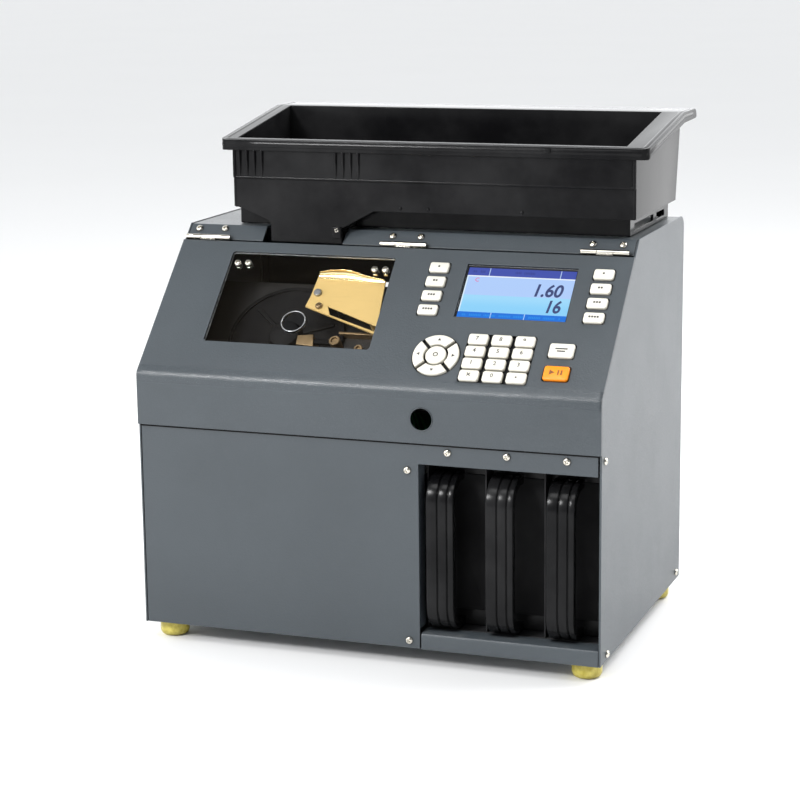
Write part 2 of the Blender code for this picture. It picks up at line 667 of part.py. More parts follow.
def build_guide_plate(slope_frame):
    """The coin guide over the sorting deck: a plate with a slanted rail and a slot, on two posts."""
    outline = [(-67.6, 111.4), (-69.3, 88.0), (-71.0, 79.4), (-6.6, 56.4), (-11.4, 107.4), (-28.0, 109.4)]
    outline += [(-38.0, 112.2), (-48.0, 112.8)]
    slot = [(-52.2, 80.6), (-48.6, 72.7), (-5.0, 58.2), (-5.0, 63.1)]
    sight = circle((-63.5, 92.0), 2.6, 12)
    posts = [prism(circle(spot, 4, 12), DECK_TOP + GAP, GUIDE_TOP - 1, "z") for spot in ((-32, 90), (-16, 76))]
    part(
        "guide_plate", prism(outline, GUIDE_TOP - 1.5, GUIDE_TOP, "z"), "brass", slope_frame,
        add=[merged(posts)],
        cut=[merged([prism(o, GUIDE_TOP - 4, GUIDE_TOP + 3, "z") for o in (slot, sight)])],
    )


def build_motor(slope_frame):
    top = DECK_TOP - DECK_THICKNESS - GAP
    profile = [(0, top - 8), (SHAFT_RADIUS + 0.6, top - 8), (SHAFT_RADIUS + 0.6, top), (20, top), (20, top - 24)]
    profile += [(17, top - 24), (17, top - 56), (14, top - 58), (0, top - 58)]
    part("drive_motor", turned(profile, DISC_CENTRE, 24), "steel", slope_frame, smooth=True)


# Electrics


def build_power_inlet(case):
    """Mains inlet with a switch above it. The socket and the switch well are open to the back."""
    x, z, back = INLET_X, INLET_Z, CASE_DEPTH
    body = block(x - 13.5, x + 13.5, 226, back + 1, z - 23.5, z + 23.5)
    flange = block(x - 15.5, x + 15.5, back + GAP, back + 2.3, z - 28, z + 28)
    socket = prism(chamfered((x, z - 9), (22, 16), 3), 236, back + 6, "y")
    well = block(x - 10, x + 10, 240, back + 6, z + 4, z + 20)
    part("power_inlet", body, "black_matt", case, add=[flange], cut=[merged([socket, well])])
    pivot = (x, 251.0, z + 12)
    rocker_outline = [(241.5, -4.5), (241.5, 4.5), (250.5, 6.6), (255.2, 6.6), (252.6, 0), (252.6, -6.6), (250.5, -6.6)]
    rocker = prism([(a, b + pivot[2]) for a, b in rocker_outline], x - 9.4, x + 9.4, "x")
    moved_origin(part("power_switch", rocker, "black_gloss", case), pivot)


def build_control_board(case):
    board = block(-80, 100, 232, 233.6, 40, 170)
    pieces = [
        block(-70, -20, 208, 232.4, 50, 92),
        block(0, 16, 222, 232.4, 60, 110),
        block(40, 88, 226, 232.4, 120, 130),
        block(-60, 20, 224, 232.4, 140, 156),
    ]
    part("control_board", board, "board", case, add=[merged(pieces)])


def main():
    clear_scene()
    machine = empty("machine", location=(-BOX_MIDDLE_X, -BOX_MIDDLE_Y, FOOT_HEIGHT))
    slope_frame = empty("slope_frame", machine, (0, 0, BEND_Z), SLOPE_ANGLE)
    hinge_y, hinge_z = slope_point(HINGE_UP, HINGE_OUT)
    lid_pivot = empty("lid_pivot", machine, (0, hinge_y, hinge_z), SLOPE_ANGLE)
    lid_frame = empty("lid_frame", lid_pivot, (0, -HINGE_UP, -HINGE_OUT))

    build_base_tray(machine)
    build_side_panels(machine)
    build_top_panel(machine)
    build_rear_panel(machine)
    build_front_panel(machine)
    build_feet(machine)
    build_bay(machine)
    build_cassettes(machine)
    build_lid(machine)
    build_lid_fittings(lid_frame)
    build_keys(lid_frame)
    build_hinges(slope_frame, lid_frame)
    build_hopper_tray(machine)
    build_hopper_base(machine)
    build_deck(slope_frame)
    build_disc(slope_frame)
    build_guide_plate(slope_frame)
    build_motor(slope_frame)
    build_power_inlet(machine)
    build_control_board(machine)


main()
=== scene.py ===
"""A desktop coin sorting machine.

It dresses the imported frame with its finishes,
and adds the fasteners, the key marks, the display's picture and the small fittings.
"""

import logging
from collections.abc import Iterable, Sequence
from dataclasses import dataclass, field
from enum import Enum
from math import atan2, cos, hypot, pi, radians, sin
from typing import Any

import bmesh
import bpy
from mathutils import Matrix, Vector


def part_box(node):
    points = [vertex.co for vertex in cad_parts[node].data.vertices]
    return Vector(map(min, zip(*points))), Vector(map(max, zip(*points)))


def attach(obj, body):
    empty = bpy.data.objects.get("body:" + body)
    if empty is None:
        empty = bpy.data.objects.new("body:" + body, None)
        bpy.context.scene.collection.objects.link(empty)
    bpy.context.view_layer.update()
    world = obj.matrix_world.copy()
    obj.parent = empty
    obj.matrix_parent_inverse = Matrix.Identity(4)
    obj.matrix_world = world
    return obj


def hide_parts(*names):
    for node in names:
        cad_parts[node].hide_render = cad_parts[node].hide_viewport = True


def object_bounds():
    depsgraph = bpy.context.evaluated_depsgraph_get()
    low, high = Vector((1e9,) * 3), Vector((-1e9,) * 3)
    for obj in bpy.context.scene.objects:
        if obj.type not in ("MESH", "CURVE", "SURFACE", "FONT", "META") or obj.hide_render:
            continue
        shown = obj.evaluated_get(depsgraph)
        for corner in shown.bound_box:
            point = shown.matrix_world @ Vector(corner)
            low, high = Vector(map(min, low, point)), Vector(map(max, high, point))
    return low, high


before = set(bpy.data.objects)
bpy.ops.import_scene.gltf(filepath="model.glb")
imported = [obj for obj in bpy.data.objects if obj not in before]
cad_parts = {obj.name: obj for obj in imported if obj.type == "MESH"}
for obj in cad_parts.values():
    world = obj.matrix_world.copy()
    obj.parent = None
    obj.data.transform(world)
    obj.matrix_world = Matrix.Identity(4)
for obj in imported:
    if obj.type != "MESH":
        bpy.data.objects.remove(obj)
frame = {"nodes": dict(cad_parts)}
CAD_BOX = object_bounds()
LOG = logging.getLogger("coin_sorter")
MM = 0.001
Colour = tuple[float, float, float]
Outline = list[tuple[float, float]]


class Op(Enum):
    """Math node operations, by the sign or word that stands for them in a recipe."""

    ADD = "ADD"
    SUBTRACT = "SUBTRACT"
    MULTIPLY = "MULTIPLY"
    DIVIDE = "DIVIDE"
    POWER = "POWER"
    GREATER = "GREATER_THAN"
    LESS = "LESS_THAN"
    ABSOLUTE = "ABSOLUTE"
    MODULO = "FLOORED_MODULO"
    SINE = "SINE"
    MAXIMUM = "MAXIMUM"


@dataclass(frozen=True)
class Wire:
    """One output of a node. Arithmetic on it adds Math nodes to the same recipe."""

    recipe: "Recipe"
    socket: bpy.types.NodeSocket

    def _math(self, op: Op, *values: "Wire | float", clamp: bool = False) -> "Wire":
        """Adds one Math node.

        Args:
            op: the operation.
            values: its operands, in order.
            clamp: whether the result is held between 0 and 1.

        Returns:
            The node's result.
        """
        settings = {"operation": op.value, "use_clamp": clamp}
        return self.recipe.node("ShaderNodeMath", settings, dict(enumerate(values)))

    def __add__(self, other: "Wire | float") -> "Wire":
        """Adds."""
        return self._math(Op.ADD, self, other)

    __radd__ = __add__

    def __sub__(self, other: "Wire | float") -> "Wire":
        """Subtracts other from this."""
        return self._math(Op.SUBTRACT, self, other)

    def __rsub__(self, other: "Wire | float") -> "Wire":
        """Subtracts this from other."""
        return self._math(Op.SUBTRACT, other, self)

    def __mul__(self, other: "Wire | float") -> "Wire":
        """Multiplies."""
        return self._math(Op.MULTIPLY, self, other)

    __rmul__ = __mul__

    def __truediv__(self, other: "Wire | float") -> "Wire":
        """Divides this by other."""
        return self._math(Op.DIVIDE, self, other)

    def __pow__(self, other: "Wire | float") -> "Wire":
        """Raises this to a power."""
        return self._math(Op.POWER, self, other)

    def __mod__(self, other: "Wire | float") -> "Wire":
        """Takes the remainder, which is never negative."""
        return self._math(Op.MODULO, self, other)

    def __abs__(self) -> "Wire":
        """Drops the sign."""
        return self._math(Op.ABSOLUTE, self)

    def __gt__(self, other: "Wire | float") -> "Wire":
        """Makes a mask that is 1 where this is the greater."""
        return self._math(Op.GREATER, self, other)

    def __lt__(self, other: "Wire | float") -> "Wire":
        """Makes a mask that is 1 where this is the smaller."""
        return self._math(Op.LESS, self, other)

    def clamped(self) -> "Wire":
        """Holds this between 0 and 1."""
        return self._math(Op.ADD, self, 0.0, clamp=True)

    def or_more(self, other: "Wire | float") -> "Wire":
        """Takes the larger of this and other."""
        return self._math(Op.MAXIMUM, self, other)

    def sine(self) -> "Wire":
        """Takes the sine of this angle in radians."""
        return self._math(Op.SINE, self)

    def eased(self, low: float, high: float) -> "Wire":
        """Rises smoothly from 0 at low to 1 at high."""
        settings = {"interpolation_type": "SMOOTHSTEP"}
        return self.recipe.node("ShaderNodeMapRange", settings, {0: self, 1: low, 2: high, 3: 0.0, 4: 1.0})


class Recipe:
    """The node tree of one material, built up from calls."""

    def __init__(self, name: str, tree: bpy.types.NodeTree | None = None) -> None:
        """Starts a material with an empty Principled shader, or works on the tree given."""
        self.tree = tree
        if not tree:
            self.material = bpy.data.materials.new(name)
            self.material.use_nodes = True
            self.tree = self.material.node_tree
            self.shader = self.tree.nodes["Principled BSDF"]

    def node(
        self,
        kind: str,
        settings: dict[str, Any] | None = None,
        values: dict[int | str, Any] | None = None,
        output: int | str = 0,
    ) -> Wire:
        """Adds a node.

        Args:
            kind: the node's type name.
            settings: its own settings, set first; "stops" fills a colour ramp.
            values: numbers, colours or wires for its sockets, by number or name.
            output: the output wanted.

        Returns:
            That output.
        """
        added = self.tree.nodes.new(kind)
        for name, setting in (settings or {}).items():
            if name == "stops":
                self._fill_ramp(added.color_ramp, setting)
            else:
                setattr(added, name, setting)
        for name, value in (values or {}).items():
            self.feed(added.inputs[name], value)
        return Wire(self, added.outputs[output])

    def _fill_ramp(self, ramp: bpy.types.ColorRamp, stops: Sequence[tuple[float, Colour]]) -> None:
        """Gives a colour ramp its stops, as (place, colour)."""
        while len(ramp.elements) < len(stops):
            ramp.elements.new(1.0)
        for element, (place, colour) in zip(ramp.elements, stops):
            element.position = place
            element.color = (*colour, 1.0)

    def feed(self, socket: bpy.types.NodeSocket, value: Any) -> None:
        """Links a wire to a socket, or sets the socket's own value."""
        if isinstance(value, Wire):
            self.tree.links.new(value.socket, socket)
        elif isinstance(value, tuple) and len(value) == 3 and socket.type == "RGBA":
            socket.default_value = (*value, 1.0)
        else:
            socket.default_value = value

    def place(self) -> Wire:
        """Gives the point of the object being shaded, in metres."""
        return self.node("ShaderNodeTexCoord", output="Object")

    def stretched(self, vector: Wire, by: Colour) -> Wire:
        """Scales a vector along its three axes."""
        return self.node("ShaderNodeVectorMath", {"operation": "MULTIPLY"}, {0: vector, 1: by})

    def noise(self, vector: Wire, scale: float, detail: float = 2.0, roughness: float = 0.5) -> Wire:
        """Gives smooth noise between 0 and 1.

        Args:
            vector: where it is read.
            scale: waves per metre.
            detail: how many finer layers are added.
            roughness: how strong those are.

        Returns:
            The noise's value.
        """
        values = {"Vector": vector, "Scale": scale, "Detail": detail, "Roughness": roughness}
        return self.node("ShaderNodeTexNoise", None, values)

    def mixed(self, share: Wire | float, first: Wire | Colour, second: Wire | Colour) -> Wire:
        """Mixes two colours; share 1 is all second."""
        settings = {"data_type": "RGBA", "clamp_factor": True}
        return self.node("ShaderNodeMix", settings, {0: share, 6: first, 7: second}, output=2)

    def dot(self, vector: Wire, other: Wire | Colour) -> Wire:
        """Gives the dot product of two vectors."""
        settings = {"operation": "DOT_PRODUCT"}
        return self.node("ShaderNodeVectorMath", settings, {0: vector, 1: other}, output="Value")

    def soft_edges(self, radius: float) -> Wire:
        """Gives normals that turn the object's edges over this radius in metres."""
        return self.node("ShaderNodeBevel", {"samples": 4}, {"Radius": radius})

    def edge_mask(self, rounded: Wire) -> Wire:
        """Gives 1 on edges and 0 on flats, from rounded normals."""
        normal = self.node("ShaderNodeNewGeometry", output="Normal")
        return ((1.0 - self.dot(rounded, normal)) * 6.0).clamped()

    def facing_up(self) -> Wire:
        """Gives 1 on surfaces that look straight up and 0 on upright ones."""
        normal = self.node("ShaderNodeNewGeometry", output="Normal")
        return self.node("ShaderNodeSeparateXYZ", None, {0: normal}, output="Z").eased(0.75, 1.0)

    def bump(self, height: Wire, depth: float, strength: float = 1.0, normal: Wire | None = None) -> Wire:
        """Turns a height into a normal.

        Args:
            height: the height, 0 to 1.
            depth: metres between 0 and 1.
            strength: how much of it is used.
            normal: the normal it starts from.

        Returns:
            The new normal.
        """
        values: dict[int | str, Any] = {"Height": height, "Distance": depth, "Strength": strength}
        if normal:
            values["Normal"] = normal
        return self.node("ShaderNodeBump", None, values)

    def done(self, **sockets: Any) -> bpy.types.Material:
        """Feeds the shader and ends the recipe.

        Args:
            sockets: values or wires by socket name, with _ for each space.

        Returns:
            The finished material.
        """
        for name, value in sockets.items():
            self.feed(self.shader.inputs[name.replace("_", " ").title().replace("Ior", "IOR")], value)
        return self.material


@dataclass(frozen=True)
class PowderCoat:
    """Baked paint on sheet metal: orange peel, fine flecks, dust on top, paler rubbed edges and painted shade
    in its creases and gaps.
    """

    name: str
    colour: Colour
    peel: float = 0.00012
    roughness: float = 0.34
    fleck: float = 0.35
    # painted_shade_reach: how far, in metres, the painted shade in creases looks for nearby surfaces
    painted_shade_reach: float = 0.0045
    fold: float | None = None
    fold_reach: float = 0.009
    fold_radius: float = 0.0045

    def build(self) -> bpy.types.Material:
        """Builds the material."""
        r = Recipe(self.name)
        at = r.place()
        rounded = r.soft_edges(0.0007)
        edges = r.edge_mask(rounded)
        worn: Wire | float = 0.0
        if self.fold is not None:
            height = r.node("ShaderNodeSeparateXYZ", None, {0: at}, output="Z")
            near = 1.0 - (abs(height - self.fold) / self.fold_reach).eased(0.55, 1.0)
            rounded = r.mixed(near, rounded, r.soft_edges(self.fold_radius))
            worn = 0.1 * near
        cloud = r.noise(at, 9.0, 4.0, 0.6)
        peel = r.noise(at, 640.0, 2.0, 0.5)
        grain = r.noise(at, 3200.0, 1.0, 0.6)
        flecks = r.noise(at, 2100.0, 1.0, 0.4).eased(0.62, 0.74)
        dark = tuple(0.95 * c for c in self.colour)
        light = tuple(1.06 * c for c in self.colour)
        pale = tuple(min(1.0, 2.2 * c + 0.05) for c in self.colour)
        paint = r.mixed(cloud.eased(0.3, 0.7), dark, light)
        # painted shade: ambient occlusion darkens the paint in creases, gaps and under overhangs, such as the
        # line under the apron
        reach = {"Distance": self.painted_shade_reach}
        painted_crevice_shade = 1.0 - r.node("ShaderNodeAmbientOcclusion", {"samples": 5}, reach, output="AO")
        paint = r.mixed(flecks * self.fleck, paint, pale)
        dust = r.facing_up() * r.noise(at, 60.0, 5.0, 0.7).eased(0.45, 0.8) * 0.2
        paint = r.mixed(dust, paint, (0.3, 0.29, 0.27))
        paint = r.mixed(edges * r.noise(at, 140.0, 3.0).eased(0.4, 0.7) * 0.35, paint, pale)
        # painted shade: near-black is mixed in where the occlusion is strong
        paint = r.mixed((painted_crevice_shade * 2.3 - 0.35).clamped(), paint, (0.004, 0.004, 0.005))
        smudge = r.noise(at, 22.0, 3.0, 0.6).eased(0.35, 0.75)
        rough = self.roughness + 0.035 * smudge - 0.12 * flecks - worn
        normal = r.bump(peel, self.peel, 1.0, rounded)
        normal = r.bump(grain, self.peel * 0.45, 1.0, normal)
        return r.done(base_color=paint, roughness=rough, normal=normal, specular_ior_level=0.4)


@dataclass(frozen=True)
class Moulding:
    """Injection moulded plastic, from glossy to matt, with faint scuffs and settled dust."""

    name: str
    colour: Colour
    roughness: float = 0.14
    scuff: float = 0.5
    texture: float = 0.000004
    edge: float = 0.0012
    shine: float = 0.2

    def build(self) -> bpy.types.Material:
        """Builds the material."""
        r = Recipe(self.name)
        at = r.place()
        rounded = r.soft_edges(self.edge)
        drift = r.noise(at, 16.0, 4.0, 0.6)
        scratches = r.noise(r.stretched(at, (60.0, 900.0, 900.0)), 1.0, 4.0, 0.7).eased(0.6, 0.72)
        dust = r.noise(at, 240.0, 5.0, 0.75).eased(0.5, 0.85) * (0.25 + 0.75 * r.facing_up())
        pale = tuple(min(1.0, 1.6 * c + 0.02) for c in self.colour)
        shade = r.mixed(drift.eased(0.3, 0.8) * 0.5, self.colour, pale)
        shade = r.mixed(dust * 0.1 * self.scuff, shade, (0.35, 0.34, 0.32))
        rough = self.roughness + self.scuff * (0.14 * drift.eased(0.4, 0.75) + 0.18 * scratches + 0.2 * dust)
        normal = r.bump(r.noise(at, 1500.0, 2.0, 0.6), self.texture, 1.0, rounded)
        normal = r.bump(r.noise(at, 35.0, 2.0), 0.0002, 0.25, normal)
        return r.done(base_color=shade, roughness=rough, normal=normal, specular_ior_level=self.shine)


@dataclass(frozen=True)
class BareMetal:
    """Unpainted metal with a grain along one axis and thin tarnish."""

    name: str
    colour: Colour
    roughness: float = 0.25
    grain: Colour = (40.0, 2200.0, 2200.0)
    tarnish: float = 0.3
    metallic: float = 1.0

    def build(self) -> bpy.types.Material:
        """Builds the material."""
        r = Recipe(self.name)
        at = r.place()
        rounded = r.soft_edges(0.0003)
        lines = r.noise(r.stretched(at, self.grain), 1.0, 3.0, 0.6)
        stain = r.noise(at, 55.0, 5.0, 0.65).eased(0.45, 0.8)
        dull = tuple(0.62 * c for c in self.colour)
        shade = r.mixed(stain * self.tarnish, self.colour, dull)
        rough = self.roughness + 0.14 * (lines - 0.5) + 0.25 * self.tarnish * stain
        normal = r.bump(lines, 0.000012, 0.5, rounded)
        return r.done(base_color=shade, roughness=rough, metallic=self.metallic, normal=normal)


@dataclass(frozen=True)
class KeyPlastic:
    """Satin key caps, a little yellowed, with painted shade low on their sides where they stand out of the
    lid.
    """

    name: str
    colour: Colour
    shade: Colour
    low: float
    up: Colour

    def build(self) -> bpy.types.Material:
        """Builds the material."""
        r = Recipe(self.name)
        at = r.place()
        height = r.dot(at, self.up) - self.low
        # painted shade: a mask that rises low on the key's sides, near the lid
        foot = 1.0 - height.eased(0.0008, 0.0026)
        patches = r.noise(at, 120.0, 4.0, 0.6).eased(0.4, 0.75)
        tint = r.mixed(patches * 0.35, self.colour, self.shade)
        # painted shade: the tint darkens low on the sides, where the key meets the lid
        tint = r.mixed(foot * 0.75, tint, tuple(0.35 * c for c in self.shade))
        rough = 0.38 + 0.14 * patches + 0.2 * foot
        normal = r.bump(r.noise(at, 2600.0, 2.0, 0.5), 0.000008, 0.7)
        return r.done(base_color=tint, roughness=rough, normal=normal, subsurface_weight=0.0)


@dataclass(frozen=True)
class SmokedAcrylic:
    """The lid's tinted clear window, with fine wipe marks."""

    name: str = "smoked_acrylic"
    alpha: float = 0.07

    def build(self) -> bpy.types.Material:
        """Builds the material."""
        r = Recipe(self.name)
        at = r.place()
        wipes = r.noise(r.stretched(at, (45.0, 600.0, 600.0)), 1.0, 4.0, 0.7).eased(0.5, 0.75)
        shade = r.mixed(wipes, (0.02, 0.016, 0.011), (0.06, 0.05, 0.038))
        rough = 0.04 + 0.1 * wipes
        return r.done(base_color=shade, roughness=rough, alpha=self.alpha + 0.04 * wipes)


@dataclass(frozen=True)
class FootRubber:
    """Yellow translucent rubber, darker towards its lower edge."""

    name: str = "foot_rubber_yellow"

    def build(self) -> bpy.types.Material:
        """Builds the material."""
        r = Recipe(self.name)
        at = r.place()
        height = r.node("ShaderNodeSeparateXYZ", None, {0: at}, output="Z")
        low = 1.0 - height.eased(0.001, 0.006)
        cloud = r.noise(at, 190.0, 4.0, 0.6)
        tint = r.mixed(cloud.eased(0.3, 0.7), (0.5, 0.4, 0.03), (0.78, 0.68, 0.16))
        tint = r.mixed(low * 0.45, tint, (0.24, 0.2, 0.05))
        normal = r.bump(r.noise(at, 900.0, 2.0), 0.00003, 0.4, r.soft_edges(0.0012))
        return r.done(base_color=tint, roughness=0.28 + 0.2 * low, normal=normal, transmission_weight=0.25)


@dataclass(frozen=True)
class Ink:
    """Printed marks, a little worn through in places."""

    name: str
    colour: Colour
    worn: Colour

    def build(self) -> bpy.types.Material:
        """Builds the material."""
        r = Recipe(self.name)
        wear = r.noise(r.place(), 1900.0, 3.0, 0.7).eased(0.55, 0.75)
        return r.done(base_color=r.mixed(wear * 0.4, self.colour, self.worn), roughness=0.5 + 0.1 * wear)


@dataclass(frozen=True)
class CircuitBoard:
    """Green solder mask with copper tracks showing through and pale component marks."""

    name: str = "circuit_board"
    parts_before: float = 0.1045

    def build(self) -> bpy.types.Material:
        """Builds the material."""
        r = Recipe(self.name)
        at = r.place()
        x = r.node("ShaderNodeSeparateXYZ", None, {0: at}, output="X")
        z = r.node("ShaderNodeSeparateXYZ", None, {0: at}, output="Z")
        wave = r.noise(at, 30.0, 1.0)
        areas = r.noise(at, 45.0, 1.0).eased(0.48, 0.52)
        tracks = (((x + z * 0.5 + wave * 0.02) * 260.0) % 1.0 < 0.4) * areas
        depth = r.node("ShaderNodeSeparateXYZ", None, {0: at}, output="Y")
        part = depth < self.parts_before
        mask = r.mixed(tracks, (0.008, 0.075, 0.03), (0.03, 0.2, 0.08))
        chips = r.mixed((r.noise(at, 25.0, 0.0) > 0.5), (0.015, 0.015, 0.017), (0.25, 0.25, 0.24))
        normal = r.bump(tracks, 0.00004, 0.6)
        return r.done(base_color=r.mixed(part, mask, chips), roughness=0.35 + 0.2 * part, normal=normal)


@dataclass(frozen=True)
class LitScreen:
    """The display's picture: a title bar, two value fields and a bar of soft key names, as plain marks."""

    corner: Vector
    across: Vector
    up: Vector
    width: float
    height: float

    def build(self) -> bpy.types.Material:
        """Builds the material."""
        r = Recipe("display_picture")
        settings = {"operation": "SUBTRACT"}
        local = r.node("ShaderNodeVectorMath", settings, {0: r.place(), 1: tuple(self.corner)})
        u = r.dot(local, tuple(self.across)) / self.width
        v = r.dot(local, tuple(self.up)) / self.height
        title, foot = v > 0.845, v < 0.115
        colour = r.mixed(v > 0.455, (0.26, 0.64, 0.95), (0.43, 0.61, 0.96))
        colour = r.mixed((v.eased(0.2, 0.44) * (v < 0.455)) * 0.35, colour, (0.5, 0.8, 0.98))
        colour = r.mixed((abs(v - 0.835) < 0.012) * (u > 0.01), colour, (0.85, 0.92, 1.0))
        colour = r.mixed(u < 0.012, colour, (0.7, 0.86, 0.98))
        colour = r.mixed(title, colour, (0.045, 0.075, 0.4))
        colour = r.mixed(foot, colour, (0.004, 0.165, 0.72))
        bars = (abs(u - 0.2) < 0.004).or_more(abs(u - 0.86) < 0.004) * title
        bars = bars.or_more((abs(u - 0.31) < 0.004).or_more(abs(u - 0.62) < 0.004) * foot)
        colour = r.mixed(bars * 0.7, colour, (0.6, 0.8, 1.0))
        words = ((u * 62.0) % 1.0 < 0.62) * ((u * 7.3 + 0.2) % 1.0 < 0.8)
        heading = words * (abs(v - 0.925) < 0.022) * ((abs(u - 0.1) < 0.06).or_more(abs(u - 0.53) < 0.09))
        colour = r.mixed(heading * 0.45, colour, (0.01, 0.012, 0.1))
        names = words * (abs(v - 0.055) < 0.02) * (u > 0.04) * (u < 0.95)
        colour = r.mixed(names * 0.35, colour, (0.02, 0.45, 1.0))
        ring_u, ring_v = (u - 0.105) * (self.width / self.height), v - 0.76
        reach = (ring_u * ring_u + ring_v * ring_v) ** 0.5
        ring = (abs(reach - 0.034) < 0.008) * (1.0 - (ring_u > 0.022))
        colour = r.mixed(ring * 0.8, colour, (0.75, 0.12, 0.35))
        rows = ((v * 240.0) % 1.0 < 0.5) * 0.03
        colour = r.mixed(rows, colour, (0.0, 0.0, 0.05))
        glass = (0.01, 0.01, 0.012)
        return r.done(base_color=glass, roughness=0.12, emission_color=colour, emission_strength=1.0)


@dataclass(frozen=True)
class PaleFloor:
    """The studio floor."""

    name: str = "studio_floor"

    def build(self) -> bpy.types.Material:
        """Builds the material."""
        r = Recipe(self.name)
        spread = r.noise(r.place(), 2.0, 3.0)
        return r.done(base_color=r.mixed(spread, (0.89, 0.89, 0.89), (0.91, 0.91, 0.91)), roughness=0.7)


class Facing(Enum):
    """The way a small part looks out of the surface it sits on, as a turn in degrees about an axis."""

    UP = (0.0, "X")
    FRONT = (90.0, "X")
    REAR = (-90.0, "X")
    RIGHT = (90.0, "Y")
    LEFT = (-90.0, "Y")
    DOWN = (180.0, "X")


@dataclass(frozen=True)
class CaseFrame:
    """The case's own axes in millimetres: X from its middle, Y from its front, Z from its underside."""

    origin: Vector
    bend_z: float = 200.0
    tilt: float = atan2(103.0, 105.0)

    @classmethod
    def from_panels(cls) -> "CaseFrame":
        """Finds the axes from the two side panels."""
        left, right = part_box("left_side_panel"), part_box("right_side_panel")
        return cls(Vector(((left[0].x + right[1].x) / 2, left[0].y, left[0].z)))

    def _base(self) -> Matrix:
        """Gives the placement of the case's origin, with millimetres as the unit."""
        return Matrix.Translation(self.origin) @ Matrix.Scale(MM, 4)

    def at(self, x: float, y: float, z: float, facing: Facing = Facing.UP, spin: float = 0.0) -> Matrix:
        """Gives a placement in the case.

        Args:
            x, y, z: the point.
            facing: the way the part's own Z looks.
            spin: degrees about that Z.

        Returns:
            The placement, which takes millimetres to the frame's metres.
        """
        turn = Matrix.Rotation(radians(facing.value[0]), 4, facing.value[1])
        return self._base() @ Matrix.Translation((x, y, z)) @ turn @ Matrix.Rotation(radians(spin), 4, "Z")

    def on_slope(self, x: float = 0.0, up: float = 0.0, out: float = 0.0, spin: float = 0.0) -> Matrix:
        """Gives a placement on the sloping front: x, the distance up it, and out of it."""
        slope = Matrix.Translation((0, 0, self.bend_z)) @ Matrix.Rotation(self.tilt, 4, "X")
        spot = Matrix.Translation((x, up, out)) @ Matrix.Rotation(radians(spin), 4, "Z")
        return self._base() @ slope @ spot


def arc(centre: tuple[float, float], radius: float, start: float, end: float, steps: int) -> Outline:
    """Gives points of an arc from one angle to another, both in degrees."""
    turns = [radians(start + (end - start) * i / steps) for i in range(steps + 1)]
    return [(centre[0] + radius * cos(t), centre[1] + radius * sin(t)) for t in turns]


def circle(centre: tuple[float, float], radius: float, steps: int = 32) -> Outline:
    """Gives a full circle."""
    return arc(centre, radius, 0, 360, steps)[:-1]


def rounded(centre: tuple[float, float], size: tuple[float, float], radius: float, steps: int = 5) -> Outline:
    """Gives a rectangle with round corners.

    Args:
        centre: its middle.
        size: its width and height.
        radius: its corners' radius.
        steps: parts in each corner.

    Returns:
        The outline, anticlockwise.
    """
    a, b = size[0] / 2 - radius, size[1] / 2 - radius
    points: Outline = []
    for turn, (i, j) in enumerate(((1, 1), (-1, 1), (-1, -1), (1, -1))):
        corner = (centre[0] + i * a, centre[1] + j * b)
        points += arc(corner, radius, 90 * turn, 90 * turn + 90, steps)
    return points


def inset(outline: Outline, distance: float) -> Outline:
    """Moves an anticlockwise outline inwards by a distance."""
    moved: Outline = []
    count = len(outline)
    for i, (x, y) in enumerate(outline):
        sides = []
        for a, b in ((outline[i - 1], (x, y)), ((x, y), outline[(i + 1) % count])):
            dx, dy = b[0] - a[0], b[1] - a[1]
            length = hypot(dx, dy) or 1.0
            sides.append((-dy / length, dx / length))
        nx, ny = (sides[0][0] + sides[1][0]) / 2, (sides[0][1] + sides[1][1]) / 2
        scale = distance / max(0.3, nx * nx + ny * ny)
        moved.append((x + nx * scale, y + ny * scale))
    return moved


def scaled(outline: Outline, by: float) -> Outline:
    """Scales an outline about its middle."""
    mx = sum(p[0] for p in outline) / len(outline)
    my = sum(p[1] for p in outline) / len(outline)
    return [(mx + (x - mx) * by, my + (y - my) * by) for x, y in outline]


